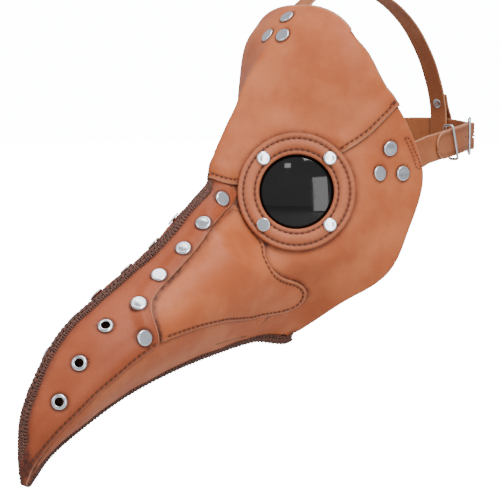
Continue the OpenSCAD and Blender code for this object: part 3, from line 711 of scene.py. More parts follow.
SEW_IN = 3.6
BROW_ROW = inside_row(BROW_LINE, SEW_IN, (13, 0.0))
SIDE_ROW = inside_row(SIDE_LINE[6:-4], SEW_IN - 0.3, (5.8, 0.5))
STRIP_ROW = inside_row(STRIP_LINE[u_line < 3.72], SEW_IN - 0.2, (2.5, 0.1))
STRIP_CREASE = inside_row(STRIP_LINE[(u_line > 3.95) & (u_line < 7)], 1.6, (6, 0.02))
BOX_ROW = np.array([[11.66, 0.93], [11.66, 0.962], [11.4, 0.972], [11.14, 0.985], [11.1, 0.955],
                    [11.4, 0.943], [11.66, 0.93]])


CHEEK_FRONT_V = 0.07


def forehead_relief(u, v, p):
    to_edge = to_path(p, on_line(BROW_LINE))
    lift = 2.1 * (1 - smooth((to_edge - 8) / 12)) * clear_of_eye(p)
    groove = 0.5 * bell(to_path(p, on_line(BROW_ROW)), 1.0)
    return lift - groove + ripple(p), to_edge


def strip_relief(u, v, p):
    to_edge = to_path(p, on_line(STRIP_LINE))
    corner = 2.1 * bell((u - 3.82), 0.3)
    lift = (2.1 + corner) * (1 - smooth((to_edge - 8) / 9)) * clear_of_eye(p)
    groove = 0.5 * bell(to_path(p, on_line(STRIP_ROW)), 1.0)
    crease = 0.3 * bell(to_path(p, on_line(STRIP_CREASE)), 0.6)
    return lift - groove - crease + ripple(p), to_edge


def side_relief(u, v, p):
    to_strip = to_path(p, on_line(STRIP_LINE))
    past_corner = smooth((u - 3.95) / 0.5)
    drop = 2.7 * (1 - smooth(to_strip / 13)) * past_corner
    near_ring = 1.2 * (1 - smooth((eye_distance(p) - 49) / 8))
    groove = 0.5 * bell(to_path(p, on_line(SIDE_ROW)), 1.0)
    return 2.5 - drop - near_ring - groove + ripple(p), to_strip


def cheek_relief(u, v, p):
    to_brow = to_path(p, on_line(BROW_LINE))
    under = eased(BROW_EDGE, np.abs(v)) - u < 0
    sink = np.where(under, 2.1 * (1 - clear_of_eye(p)) * smooth(to_brow / 1.5), 0)
    under_strip = (v < eased(STRIP_EDGE, u)) & (u > 6.2)
    tuck = np.where(under_strip, 2.3 * smooth(to_path(p, on_line(STRIP_LINE)) / 1.5), 0)
    return ripple(p) - np.maximum(sink, tuck), to_brow


def rivet_shadow(p, rivets, radius):
    """A painted contact shadow in a narrow ring round each rivet, and a dent where the leather is pressed."""
    centres = np.array([skin(*r) for r in rivets])
    d = np.linalg.norm(p[:, None] - centres, axis=2).min(1)
    return bell(d - radius - 0.5, 1.3), 0.45 * (1 - smooth((d - radius) / 3.5))


def keep_outside(p, quads, centres, radius):
    d = np.linalg.norm(p[:, None] - np.asarray(centres), axis=2).min(1)
    return quads[(d[quads] > radius).all(1)]


def sheet_of(places, relief, one_side, borders_at, rows_of, burnish, rivets=(), eyelets=(), worn_from=()):
    """A panel over a grid of places: raised, holed, thickened and marked for its shader."""
    rows, cols = places.shape[:2]
    u, v = places[..., 0].ravel(), places[..., 1].ravel()
    p, n = skin(u, v), skin_out(u, v, one_side)
    high, _ = relief(u, v, p)
    edge = np.min([to_path(p, on_line(line)) for line in borders_at], axis=0)
    seam = np.zeros(len(p))
    for row in rows_of:
        seam = np.maximum(seam, 0.38 * bell(to_path(p, on_line(row)), 1.2))
    if len(rivets):
        # The painted contact shadow round each rivet goes into the seam mark; the dent is real relief.
        ring, dent = rivet_shadow(p, rivets, 6.2)
        seam, high = np.maximum(seam, 0.95 * ring), high - dent
    quads = grid_quads(rows, cols)
    quads = quads[(eye_distance(p)[quads] > 37.5).all(1)]
    if len(eyelets):
        quads = keep_outside(p, quads, [skin(*e) for e in eyelets], 4.3)
    high = high - 0.35 * (1 - smooth(edge / 2.2))
    used, quads = np.unique(quads, return_inverse=True)
    quads = quads.reshape(-1, 4)
    outer = (p + high[:, None] * n)[used]
    shape = leather_sheet(outer, n[used], quads, edge=edge[used], seam=seam[used],
                          burnish=burnish(u, v, p)[used])
    if one_side:
        shape.points[:, 0] = np.maximum(shape.points[:, 0], 0.2)
    return shape


SEWN = [0, 0.5, 1.2, 2.0, 2.7, 3.2, 3.7, 4.2, 4.9, 5.8, 7.0]
PLAIN = [0, 0.5, 1.2, 2.2, 3.4]


# Darker towards the tip of the beak.
def tip_darkening(u):
    return 0.5 * (1 - smooth(u / 1.8)) + 0.26 * (1 - smooth(u / 4.6))


def forehead_burnish_and_shadow(u, v, p):
    to_edge = to_path(p, on_line(BROW_LINE))
    # Painted shadow just outside the eye ring, and a faint darkening along the brow edge.
    return 0.10 * bell(to_edge, 5) + 0.6 * bell(eye_distance(p) - 49.5, 2.2)


def strip_burnish(u, v, p):
    ridge = to_path(p, on_line(RIDGE_LINE))
    low = to_path(p, on_line(STRIP_LINE))
    band = 0.85 * (1 - smooth((ridge - 4) / 7)) * (0.6 + 0.6 * (1 - smooth(u / 5)))
    return np.clip(band + tip_darkening(u) * (0.4 + 0.6 * bell(low, 14)) + 0.12 * bell(low, 4), 0, 0.95)


def cheek_burnish_and_shadow(u, v, p):
    keel = to_path(p, on_line(KEEL_LINE))
    band = 0.85 * (1 - smooth((keel - 4) / 7)) * (0.6 + 0.6 * (1 - smooth(u / 5)))
    # Painted shadow on the cheek under the side panel's edge, the strip's edge and the forehead's brow edge.
    under_side = 0.8 * bell(to_path(p, on_line(SIDE_LINE)), 3.0)
    under_edge = under_side + 0.75 * bell(to_path(p, on_line(STRIP_LINE)), 2.4)
    brow = 0.75 * bell(to_path(p, on_line(BROW_LINE)), 2.2)
    # Painted shadow just outside the eye ring.
    ring = 0.6 * bell(eye_distance(p) - 49.5, 2.2)
    return np.clip(band + tip_darkening(u) + under_edge + brow + ring, 0, 0.95)


def side_burnish_and_shadow(u, v, p):
    # Painted shadow on the side panel under the strip's edge.
    under_strip = bell(to_path(p, on_line(STRIP_LINE)) - 0.8, 3.0)
    # Painted shadow just outside the eye ring.
    ring = 0.6 * bell(eye_distance(p) - 49.5, 2.6)
    return np.clip(under_strip + ring + 0.10 * bell(to_path(p, on_line(SIDE_LINE)), 6), 0, 0.9)


def make_forehead():
    v = np.linspace(0, 1, 104)
    v = np.concatenate([-v[:0:-1], v])
    first = np.stack([eased(BROW_EDGE, np.abs(v)), v], 1)
    last = np.stack([np.full(len(v), float(TOP_U)), v], 1)
    places = spread(first, last, SEWN, PLAIN, 84).transpose(1, 0, 2)
    rim = np.linspace(12.45, 15, 80)
    edges = [BROW_LINE, np.stack([rim, 0 * rim + 1], 1), np.stack([rim, 0 * rim - 1], 1),
             np.stack([0 * v_line + 15, v_line], 1)]
    shape = sheet_of(places[::-1], forehead_relief, False, edges, [BROW_ROW], forehead_burnish_and_shadow,
                     rivets=BROW_RIVETS)
    piece("forehead_leather", shape, LEATHERS, ["forehead_panel"])


def make_cheeks():
    u = np.linspace(0.1, 6.0, 190)
    start = np.interp(u, TAIL_EDGE[:, 0], TAIL_EDGE[:, 1]) - 0.075 * smooth(u / 0.6)
    tail = spread(np.stack([u, start], 1), np.stack([u, 0 * u + 1], 1), [0, 1.5], PLAIN, 76)
    top = 104
    v = tail[-1, :, 1]
    cheek_v = CHEEK_FRONT_V + (v - v[0]) / (v[-1] - v[0]) * (1 - CHEEK_FRONT_V)
    end = eased(BROW_EDGE, cheek_v) + 0.17
    t = np.linspace(0, 1, top)[:, None]
    cheek = np.stack([6.35 + (end - 6.35) * t, cheek_v + 0 * t], 2)
    places = np.concatenate([tail, cheek])
    rim = np.linspace(6.4, 12.6, 200)
    edges = [np.stack([rim, 0 * rim + 1], 1), KEEL_LINE]
    shape = sheet_of(places, cheek_relief, True, edges, [BOX_ROW], cheek_burnish_and_shadow, rivets=TEMPLE_RIVETS)
    first, last = skin(*SLIT_ENDS[0]), skin(*SLIT_ENDS[1])
    middle = np.mean(SLIT_ENDS, axis=0)
    ahead, out = unit(last - first), skin_out(*middle)
    across = unit(np.cross(out, ahead))
    cutter = slot_cutter((first + last) / 2, ahead, across, np.cross(ahead, across),
                         np.linalg.norm(last - first), SLIT_W, 9)
    for side, panel, tool in (("left", shape, cutter), ("right", shape.mirrored(), cutter.mirrored())):
        cheek = piece(f"{side}_cheek_leather", panel, LEATHERS, [f"{side}_cheek_panel"])
        punched(cheek, [tool], wall=1)


def make_sides():
    s = graded(150, [0, 1, 2.2], SEWN, 84)
    first = coons(s, 0 * s)
    rows = []
    for k in s:
        line = np.linspace(0, 1, 40)
        points = coons(0 * line + k, line)
        width = np.linalg.norm(np.diff(on_line(points), axis=0), axis=1).sum()
        t = graded(max(width, 1.0), PLAIN, SEWN, 44)
        rows.append(coons(0 * t + k, t))
    shape = sheet_of(np.array(rows), side_relief, True, [SIDE_LINE], [SIDE_ROW], side_burnish_and_shadow)
    pair("side_leather", shape, LEATHERS, "side_panel")


def make_strips():
    u = np.concatenate([np.linspace(0.1, 3.6, 120), np.linspace(3.6, 4.1, 40)[1:], np.linspace(4.1, 7.28, 120)[1:]])
    first = np.stack([u, 0 * u], 1)
    last = np.stack([u, eased(STRIP_EDGE, u)], 1)
    places = spread(first, last, PLAIN, SEWN, 26)
    shape = sheet_of(places, strip_relief, True, [STRIP_LINE], [STRIP_ROW], strip_burnish,
                     rivets=BEAK_RIVETS + EYELETS, eyelets=EYELETS)
    pair("beak_strip_leather", shape, [strip_hide, lining, strip_hide], "beak_strip")


def sewn_row(name, line, relief, finish, pitch=4.6, both=True, above=0.0, clear=True, **how):
    """Stitches along a row of places, at the height of the leather they hold."""
    line = np.asarray(line)
    p = on_line(line)
    n = skin_out(line[:, 0], line[:, 1])
    high, _ = relief(line[:, 0], line[:, 1], p)
    if clear:
        keep = eye_distance(p) > 50.5
        line, p, n, high = line[keep], p[keep], n[keep], high[keep]
    shape = stitches(p + (high + above)[:, None] * n, n, pitch, **how)
    if both:
        pair(name, shape, [finish])
    else:
        piece(name, shape, [finish])


def make_seams():
    upper = BROW_ROW[BROW_ROW[:, 1] > 0.45]
    sewn_row("temple_stitching", upper[:-4], forehead_relief, dark_thread, 5.0, above=0.15)
    backstitch = inside_row(BROW_LINE[BROW_LINE[:, 1] > 0.93], SEW_IN + 1.7, (13, 0.5))
    sewn_row("temple_backstitch", backstitch[:-4], forehead_relief, dark_thread, 3.6, above=0.1)
    bridge = BROW_ROW[np.abs(BROW_ROW[:, 1]) < 0.16]
    sewn_row("bridge_stitching", bridge, forehead_relief, dark_thread, 4.2, both=False, above=0.1)
    sewn_row("side_stitching", SIDE_ROW, side_relief, dark_thread, 4.9, above=0.15)
    sewn_row("strip_stitching", STRIP_ROW, strip_relief, dark_thread, 4.9, above=0.15)
    fine = through(BOX_ROW, np.linspace(0, len(BOX_ROW) - 1, 90))
    sewn_row("strap_box_stitching", fine, cheek_relief, dark_thread, 3.4, thread=0.35, height=0.2)


LACE_LOOP = np.array([[5.6, -0.3], [4.2, 0.9], [2.0, 1.5], [0, 1.8], [-2.0, 1.5], [-4.2, 0.9], [-5.6, -0.3],
                      [-5.0, -2.6], [-1.8, -2.9], [1.8, -2.9], [5.0, -2.6], [5.6, -0.3]])
LACE_PITCH, LACE_SLANT, LACE_R = 3.3, 2.3, 0.85


def laced_edge(name, along, node, root):
    """Two threads that cross over the joined edges of the beak, over a flat core of waxed cord."""
    u = along[:, 0]
    middle = on_line(along)
    middle[:, 0] = 0
    ahead = unit(np.gradient(middle, axis=0))
    inner = np.where(along[:, 1] > 0.5, along[:, 1] - 0.03, along[:, 1] + 0.03)
    side = unit(skin(u, inner) - middle)
    out = np.cross(ahead, [1, 0, 0])
    away = (middle - skin(u, 0.5 + 0 * u)) * [0, 1, 1]
    out = out * np.sign((out * away).sum(1))[:, None]
    length = np.linalg.norm(np.diff(middle, axis=0), axis=1).sum()
    turns, per = int(length / LACE_PITCH), 22
    taper = np.clip(np.minimum(np.arange(len(u)) / 40, np.arange(len(u))[::-1] / root), 0.7, 1)

    def at(index, w, h, slant):
        m, sd, o, t, small = (at_index(a, index) for a in (middle, side, out, ahead, taper[:, None]))
        lateral = unit(sd) * np.abs(w)[:, None]
        lateral[:, 0] = np.sign(w) * np.abs(lateral[:, 0])
        return m + small * (lateral + h[:, None] * unit(o)) + (slant * w)[:, None] * t

    shapes = []
    for hand, start in ((1, 0.0), (-1, 0.5)):
        k = np.arange(turns * per + 1)
        phase = (hand * k / per + start) % 1 * (len(LACE_LOOP) - 1)
        w = np.interp(phase, np.arange(len(LACE_LOOP)), LACE_LOOP[:, 0])
        h = np.interp(phase, np.arange(len(LACE_LOOP)), LACE_LOOP[:, 1])
        path = at(k / (turns * per) * (len(u) - 1), w, h, hand * LACE_SLANT / 5.6 + 0 * w)
        shapes.append(tube(path, LACE_R, 6))
    for w, h in ((0, 0.6), (2.6, 0.1), (-2.6, 0.1)):
        index = np.linspace(0, len(u) - 1, 220)
        shapes.append(tube(at(index, w + 0 * index, h + 0 * index, 0 * index), 1.35, 8, up=[1, 0, 0]))
    piece(name, joined(shapes), [lace_thread], [node])


def make_lacing():
    u = np.linspace(0.12, 7.05, 900)
    laced_edge("dorsal_edge_lacing", np.stack([u, 0 * u], 1), "dorsal_lacing", 40)
    u = np.linspace(0.12, 6.88, 900)
    laced_edge("ventral_edge_lacing", np.stack([u, 0 * u + 1], 1), "ventral_lacing", 30)


# ---- Eyes ------------------------------------------------------------------
def on_eye(shape):
    return shape.moved(EYE_AT, EYE_SIDE, EYE_UP, EYE_OUT)


RING_SECTION = [
    [31.2, 0.3], [31.0, 1.4], [31.2, 2.5], [31.9, 3.1], [33.0, 3.25], [34.0, 3.0], [34.8, 2.6],
    [35.5, 2.95], [36.4, 3.9], [37.6, 4.55], [39.0, 4.8], [40.6, 4.65], [42.2, 4.0], [43.5, 3.1],
    [44.4, 2.55], [45.3, 2.85], [46.4, 3.15], [47.6, 3.1], [48.6, 2.6], [49.1, 1.6], [49.0, 0.5],
    [48.2, 0.3],
]
INNER_ROW_R, OUTER_ROW_R = 34.8, 44.4
INNER_STITCHES, OUTER_STITCHES = 46, 60


RING_RAISE = 1.8


def make_rings():
    section = np.array(RING_SECTION) + [0, RING_RAISE]
    section[[0, -1], 1] = 0.3
    sides = 480
    turn = 2 * math.pi * np.arange(sides) / sides
    radius, height = section[:, :1], section[:, 1:]
    inner_pull = bell(radius - INNER_ROW_R, 1.4) * 0.22 * np.cos(INNER_STITCHES * turn)
    outer_pull = bell(radius - OUTER_ROW_R, 1.6) * 0.26 * np.cos(OUTER_STITCHES * turn)
    z = height + inner_pull + outer_pull + 0.12 * np.sin(5 * turn + 1) * bell(radius - 39, 4)
    points = np.stack([radius * np.cos(turn), radius * np.sin(turn), z], 2).reshape(-1, 3)
    faces = [tuple(q) for q in grid_quads(len(section), sides, closed=True)]
    last = (len(section) - 1) * sides
    faces += [(last + j, last + (j + 1) % sides, (j + 1) % sides, j) for j in range(sides)]
    r = np.repeat(section[:, 0], sides)
    seam = np.maximum(0.8 * bell(r - INNER_ROW_R, 0.9), 0.85 * bell(r - OUTER_ROW_R, 1.0))
    burnish = 0.3 * bell(r - 49, 1.2) + 0.3 * bell(r - 31, 1.4)
    shape = Shape(points, [f[::-1] for f in faces], 0, seam=seam, burnish=burnish, edge=r * 0 + 40)
    pair("eye_ring_leather", on_eye(shape), [ring_hide], "eye_ring")
    rows = []
    for row_r, count, high in ((INNER_ROW_R, INNER_STITCHES, 2.75), (OUTER_ROW_R, OUTER_STITCHES, 2.7)):
        high += RING_RAISE
        a = np.linspace(0, 2 * math.pi, count * 8 + 1)
        path = np.stack([row_r * np.cos(a), row_r * np.sin(a), 0 * a + high], 1)
        up = np.tile([0, 0, 1.0], (len(a), 1))
        rows.append(stitches(path, up, 2 * math.pi * row_r / count, 0.7, 0.45, 0.35))
    pair("eye_ring_stitching", on_eye(joined(rows)), [dark_thread])


LENS_R, LENS_RIM_R, LENS_DOME_R, LENS_TOP, LENS_T, LENS_RISE = 36.5, 30.7, 120.0, -2.2, 2.0, 2.4


def make_lenses():
    r = np.linspace(LENS_RIM_R, 0, 15)
    dome = np.sqrt(LENS_DOME_R ** 2 - r ** 2) - math.sqrt(LENS_DOME_R ** 2 - LENS_RIM_R ** 2)
    outer = [[a, LENS_TOP + LENS_RISE + h] for a, h in zip(r, dome)]
    inner = [[a, LENS_TOP + LENS_RISE - LENS_T + h] for a, h in zip(r[::-1], dome[::-1])]
    inner[-1] = [LENS_RIM_R - 1.6, LENS_TOP - LENS_T]
    flange = [[LENS_RIM_R + 0.6, LENS_TOP - LENS_T], [LENS_R - 0.3, LENS_TOP - LENS_T],
              [LENS_R, LENS_TOP - LENS_T + 0.4], [LENS_R, LENS_TOP - 0.4], [LENS_R - 0.3, LENS_TOP],
              [LENS_RIM_R + 0.6, LENS_TOP]]
    pair("lens", on_eye(lathe(inner + flange + outer, 96)), [lens_glass], "lens")


# ---- Rivets and eyelets ----------------------------------------------------
CAP_R, EYE_CAP_R, SHANK_R, EYE_CAP_LEAN = 6.4, 5.8, 1.6, 10


def rivet_cap(r, depth):
    """A cap with a rolled rim and a nearly flat top, on its shank."""
    section = [[0, -depth], [SHANK_R - 0.2, -depth], [SHANK_R, -depth + 0.3], [SHANK_R, 0], [0.93 * r, 0],
               [0.985 * r, 0.12], [r, 0.45], [0.99 * r, 0.85], [0.955 * r, 1.2], [0.9 * r, 1.45],
               [0.83 * r, 1.6], [0.76 * r, 1.64], [0.7 * r, 1.6], [0.6 * r, 1.63], [0.4 * r, 1.72],
               [0.2 * r, 1.78], [0, 1.8]]
    return lathe(section, 40)


def rivet_back():
    return lathe([[0, -1.2], [2.6, -1.2], [3.5, -1.1], [4.3, -0.75], [4.6, -0.4], [4.5, -0.05], [0, 0]], 32)


def eyelet():
    section = [[3.5, -3.8], [3.5, 0.9], [3.62, 1.25], [3.95, 1.5], [4.5, 1.55], [5.2, 1.4], [5.9, 0.95],
               [6.25, 0.5], [6.3, 0.3], [4.1, 0.25], [4.1, -3.3], [4.3, -3.6], [4.1, -3.85]]
    sides = 48
    turn = 2 * math.pi * np.arange(sides) / sides
    s = np.array(section)
    points = np.stack([s[:, :1] * np.cos(turn), s[:, :1] * np.sin(turn), s[:, 1:] + 0 * turn], 2)
    faces = [tuple(q) for q in grid_quads(len(section), sides, closed=True)]
    last = (len(section) - 1) * sides
    faces += [(last + j, last + (j + 1) % sides, (j + 1) % sides, j) for j in range(sides)]
    return Shape(points.reshape(-1, 3), [f[::-1] for f in faces[::-1]])


def washer():
    section = [[4.15, 0], [6.0, 0], [6.0, -0.6], [5.8, -0.8], [4.4, -0.8], [4.15, -0.6]]
    s = np.array(section)
    sides = 40
    turn = 2 * math.pi * np.arange(sides) / sides
    points = np.stack([s[:, :1] * np.cos(turn), s[:, :1] * np.sin(turn), s[:, 1:] + 0 * turn], 2)
    faces = [tuple(q) for q in grid_quads(len(section), sides, closed=True)]
    last = (len(section) - 1) * sides
    faces += [(last + j, last + (j + 1) % sides, (j + 1) % sides, j) for j in range(sides)]
    return Shape(points.reshape(-1, 3), faces)


def on_leather(shape, at, relief, high=0.0):
    """Sets a fastener square on the leather at a place."""
    u, v = np.array([at[0]], float), np.array([at[1]], float)
    p, n = skin(u, v), skin_out(u, v, at[1] != 0)
    level, _ = relief(u, v, p)
    out = n[0]
    side = unit(np.cross([0, 0, 1.0], out))
    return shape.moved(p[0] + (level[0] - 0.35 + high) * out, side, np.cross(out, side), out)


def make_fasteners():
    beak = joined([on_leather(rivet_cap(CAP_R, 2.6), at, strip_relief) for at in BEAK_RIVETS])
    pair("beak_rivet_caps", beak, [nickel], "beak_rivets")
    backs = joined([on_leather(rivet_back(), at, strip_relief, -1.75) for at in BEAK_RIVETS])
    pair("beak_rivet_undersides", backs, [bare_steel], "beak_rivet_backs")
    temple = joined([on_leather(rivet_cap(CAP_R, 4.7), at, cheek_relief) for at in TEMPLE_RIVETS])
    pair("temple_rivet_caps", temple, [nickel], "temple_rivets")
    brow = joined([on_leather(rivet_cap(CAP_R, 4.7), at, forehead_relief) for at in BROW_RIVETS])
    piece("brow_rivet_caps", brow, [nickel], ["brow_rivets"])
    eye = []
    for k in range(4):
        a = math.radians(45 + 90 * k)
        at = EYE_AT + 39 * (math.cos(a) * EYE_SIDE + math.sin(a) * EYE_UP) + (4.35 + RING_RAISE) * EYE_OUT
        lean = math.radians(0 if k == 2 else EYE_CAP_LEAN)
        side = math.cos(lean) * EYE_SIDE - math.sin(lean) * EYE_OUT
        out = math.cos(lean) * EYE_OUT + math.sin(lean) * EYE_SIDE
        eye.append(rivet_cap(EYE_CAP_R, 10.8 + RING_RAISE).moved(at, side, EYE_UP, out))
    pair("eye_rivet_caps", joined(eye), [nickel], "eye_rivets")
    vents = joined([on_leather(eyelet(), at, strip_relief, 0.2) for at in EYELETS])
    pair("vent_eyelet_rims", vents, [nickel], "vent_eyelets")
    rings = joined([on_leather(washer(), at, strip_relief, -1.95) for at in EYELETS])
    pair("vent_washer_rings", rings, [bare_steel], "vent_washers")


# ---- Straps ----------------------------------------------------------------
STRAP_T, STRAP_W, CROWN_W = 1.8, 24, 20
TAIL_LIFT = 2.3
BUCKLE_AT = np.array([54.5, 87.3, 50])
BUCKLE_TURN = math.radians(132)
ALONG_X = np.array([math.cos(BUCKLE_TURN), math.sin(BUCKLE_TURN), 0])
OUTWARD = np.array([math.sin(BUCKLE_TURN), -math.cos(BUCKLE_TURN), 0])
UP = np.array([0, 0, 1.0])
FOLD_R, BASE_Z, UNDER_BAR_Z, OVER_FOLD_Z, BAR_PITCH = 2.35, -3.8, -1.5, 4.3, 13
SIDE_RUN = np.array([[85.2, 2, 42], [84, 12, 43.5], [81, 24.5, 45.1], [77.5, 38, 46.8], [74, 51.5, 48.5]])
FLIP = np.array([-1, 1, 1])


def at_buckle(x, z):
    return BUCKLE_AT + x * ALONG_X + z * OUTWARD


def strap_root(side):
    t = np.linspace(0, 1, 5)
    u, v = 10.95 + 0.4 * t, 0.70 + 0.29 * t
    return (skin(u, v) - 3.3 * skin_out(u, v)) * [side, 1, 1]


def strap_section(half_w, half_t, corner=0.7, across=9):
    """Points round a strap's section as sideways and outward offsets, with its edge eased."""
    points = []
    flat = np.linspace(-1, 1, across) * (half_w - corner)
    turns = np.linspace(0, math.pi / 2, 4)[1:-1]
    points += [(w, half_t) for w in flat]
    points += [(half_w - corner + corner * math.sin(a), half_t - corner + corner * math.cos(a)) for a in turns]
    points += [(half_w, half_t - corner), (half_w, corner - half_t)]
    points += [(half_w - corner + corner * math.cos(a), corner - half_t - corner * math.sin(a)) for a in turns]
    points += [(w, -half_t) for w in flat[::-1]]
    points += [(corner - half_w - corner * math.sin(a), corner - half_t - corner * math.cos(a)) for a in turns]
    points += [(-half_w, corner - half_t), (-half_w, half_t - corner)]
    points += [(corner - half_w - corner * math.cos(a), half_t - corner + corner * math.sin(a)) for a in turns]
    return np.array(points)


def strap(path, widths, across, t=STRAP_T, first_rows=()):
    """A strap along a path. Its width lies along across, and a creased line runs by each edge."""
    path = np.asarray(path, float)
    ahead = unit(np.gradient(path, axis=0))
    out = unit(np.cross(across, ahead))
    side = unit(np.cross(ahead, out))
    rows, marks = list(first_rows), []
    for p, w, o, s in zip(path, widths, out, side):
        section = strap_section(w / 2, t / 2)
        rows.append(p + section[:, :1] * s + section[:, 1:] * o)
    count = len(strap_section(10, 1))
    points = np.array(rows).reshape(-1, 3)
    faces = [tuple(q[::-1]) for q in grid_quads(len(rows), count, closed=True)]
    faces += [tuple(range(count)), tuple(range(len(points) - 1, len(points) - 1 - count, -1))]
    section = strap_section(12, t / 2)
    from_edge = 12 - np.abs(section[:, 0])
    edge = np.tile(from_edge, len(rows))
    seam = np.tile(0.35 * bell(from_edge - 3.4, 1.2) * (section[:, 1] > 0), len(rows))
    ends = np.minimum(np.arange(len(rows)), len(rows) - 1 - np.arange(len(rows)))
    burnish = np.repeat(0.25 * np.exp(-ends / 3.0), count)
    return Shape(points, faces, 0, edge=edge, seam=seam, burnish=burnish)


def stations(points, per, widths):
    count = (len(points) - 1) * per
    t = np.arange(count + 1) / per
    table = np.array(widths)
    return through(points, t), np.interp(t, table[:, 0], table[:, 1])


SIDE_WIDTHS = [[0, 38], [2, 34], [4, 25], [5, 24]]


def slot_cutter(at, side, up, out, length, width, depth):
    """A round-ended prism that punches a slot."""
    half = (length - width) / 2
    a = np.linspace(0, math.pi, 9)
    right = np.stack([half + width / 2 * np.sin(a), width / 2 * np.cos(a)], 1)
    left = np.stack([-half - width / 2 * np.sin(a), -width / 2 * np.cos(a)], 1)
    ring = np.concatenate([right, left])[::-1]
    n = len(ring)
    points = np.concatenate([np.column_stack([ring, np.full(n, h)]) for h in (-depth / 2, depth / 2)])
    faces = [(k, (k + 1) % n, n + (k + 1) % n, n + k) for k in range(n)]
    faces += [tuple(range(n - 1, -1, -1)), tuple(range(n, 2 * n))]
    return Shape(points, faces).moved(at, side, up, out)


def punched(obj, cutters, wall=0):
    """Punches clean holes through a strap and keeps the result as its mesh."""
    mesh = bpy.data.meshes.new("punch")
    shape = joined(cutters)
    mesh.from_pydata((shape.points * MM).tolist(), [], shape.faces)
    mesh.polygons.foreach_set("material_index", [wall] * len(mesh.polygons))
    tool = bpy.data.objects.new("punch", mesh)
    bpy.context.scene.collection.objects.link(tool)
    step = obj.modifiers.new("punch", "BOOLEAN")
    step.operation, step.object, step.solver = "DIFFERENCE", tool, "EXACT"
    bpy.context.view_layer.update()
    cut = bpy.data.meshes.new_from_object(obj.evaluated_get(bpy.context.evaluated_depsgraph_get()))
    obj.modifiers.clear()
    obj.data = cut
    bpy.data.objects.remove(tool)
    bpy.data.meshes.remove(mesh)


def left_strap_path():
    head = np.concatenate([strap_root(1), SIDE_RUN,
                           [at_buckle(-22, BASE_Z), at_buckle(-10, BASE_Z), at_buckle(-4, BASE_Z + 0.5)]])
    path, widths = stations(head, 7, SIDE_WIDTHS)
    turn = np.radians(np.arange(0, 181, 12))
    fold = [at_buckle(FOLD_R * math.sin(a), -FOLD_R * math.cos(a)) for a in turn]
    end = [at_buckle(-2.5, 1.45), at_buckle(-5, 0.1), at_buckle(-8, -1.4)]
    path = np.concatenate([path, fold, end])
    return path, np.concatenate([widths, np.full(len(fold) + len(end), STRAP_W)])


def round_end(path, widths):
    """Cuts the end of a strap to a half circle."""
    reach = STRAP_W / 2
    from_end = np.linalg.norm(path - path[-1], axis=1)
    keep = from_end > reach + 1
    keep[:len(path) // 2] = True
    last, tip = path[keep][-1], path[-1]
    back = unit(last - tip)
    steps = np.array([12, 10, 8, 6, 4, 2.5, 1.2, 0.4])
    half = np.sqrt(reach ** 2 - (reach - steps) ** 2)
    return np.concatenate([path[keep], tip + steps[:, None] * back]), np.concatenate([widths[keep], 2 * half])


def right_strap_path():
    def raised(p, q):
        return p + TAIL_LIFT * unit(np.cross(unit(q - p), UP))

    ahead = [SIDE_RUN[2], SIDE_RUN[3], SIDE_RUN[4], at_buckle(-22, BASE_Z)]
    tail = [raised(SIDE_RUN[k], ahead[k - 1]) for k in (4, 3, 2, 1)]
    points = np.concatenate([
        strap_root(-1), SIDE_RUN * FLIP,
        [[-66, 69, 50], [-48, 90, 51], [-26, 104, 52], [0, 109, 52], [22, 106, 51]],
        [at_buckle(22, BASE_Z + 0.3), at_buckle(BAR_PITCH, UNDER_BAR_Z), at_buckle(6, 1.6),
         at_buckle(0, OVER_FOLD_Z), at_buckle(-6, 1.6), at_buckle(-BAR_PITCH, UNDER_BAR_Z),
         at_buckle(-22, BASE_Z + TAIL_LIFT)],
        tail,
    ])
    path, widths = stations(points, 7, SIDE_WIDTHS)
    return round_end(path, widths)


def buckle_cutter(x, z, length, width, depth):
    return slot_cutter(at_buckle(x, z), ALONG_X, UP, OUTWARD, length, width, depth)


def make_side_straps():
    path, widths = left_strap_path()
    left = piece("left_side_strap", strap(path, widths, UP), [strap_hide], ["left_strap"])
    punched(left, [buckle_cutter(0, -1, 14, 5, 12)])
    path, widths = right_strap_path()
    right = piece("right_side_strap", strap(path, widths, UP), [strap_hide], ["right_strap"])
    cutters = [buckle_cutter(0.5, OVER_FOLD_Z - 1, 9, 4, 8)]
    step = np.concatenate([[0], np.cumsum(np.linalg.norm(np.diff(path, axis=0), axis=1))])
    bar = step[np.linalg.norm(path - at_buckle(0, OVER_FOLD_Z), axis=1).argmin()]
    for k in (-3, -2, -1, 1, 2):
        i = int(np.interp(bar + 17 * k, step, np.arange(len(path))))
        ahead = unit(path[i + 1] - path[i - 1])
        out = unit(np.cross(UP, ahead))
        cutters.append(slot_cutter(path[i], ahead, np.cross(out, ahead), out, 3.401, 3.4, 6))
    punched(right, cutters)


CROWN_FREE = [[0, -52, 174], [0, -24, 181], [0, 6, 180], [0, 36, 170], [0, 64, 150], [0, 86, 122],
              [0, 99, 94], [0, 104.5, 74]]
CROWN_LOOP = [[0, 105.4, 66], [0, 105.6, 52], [0, 105.6, 40], [0, 106.6, 36.8], [0, 109.2, 35.4],
              [0, 111.8, 36.8], [0, 112.8, 40], [0, 112.8, 52], [0, 112.2, 64], [0, 109.8, 70],
              [0, 107.4, 76], [0, 105, 86]]


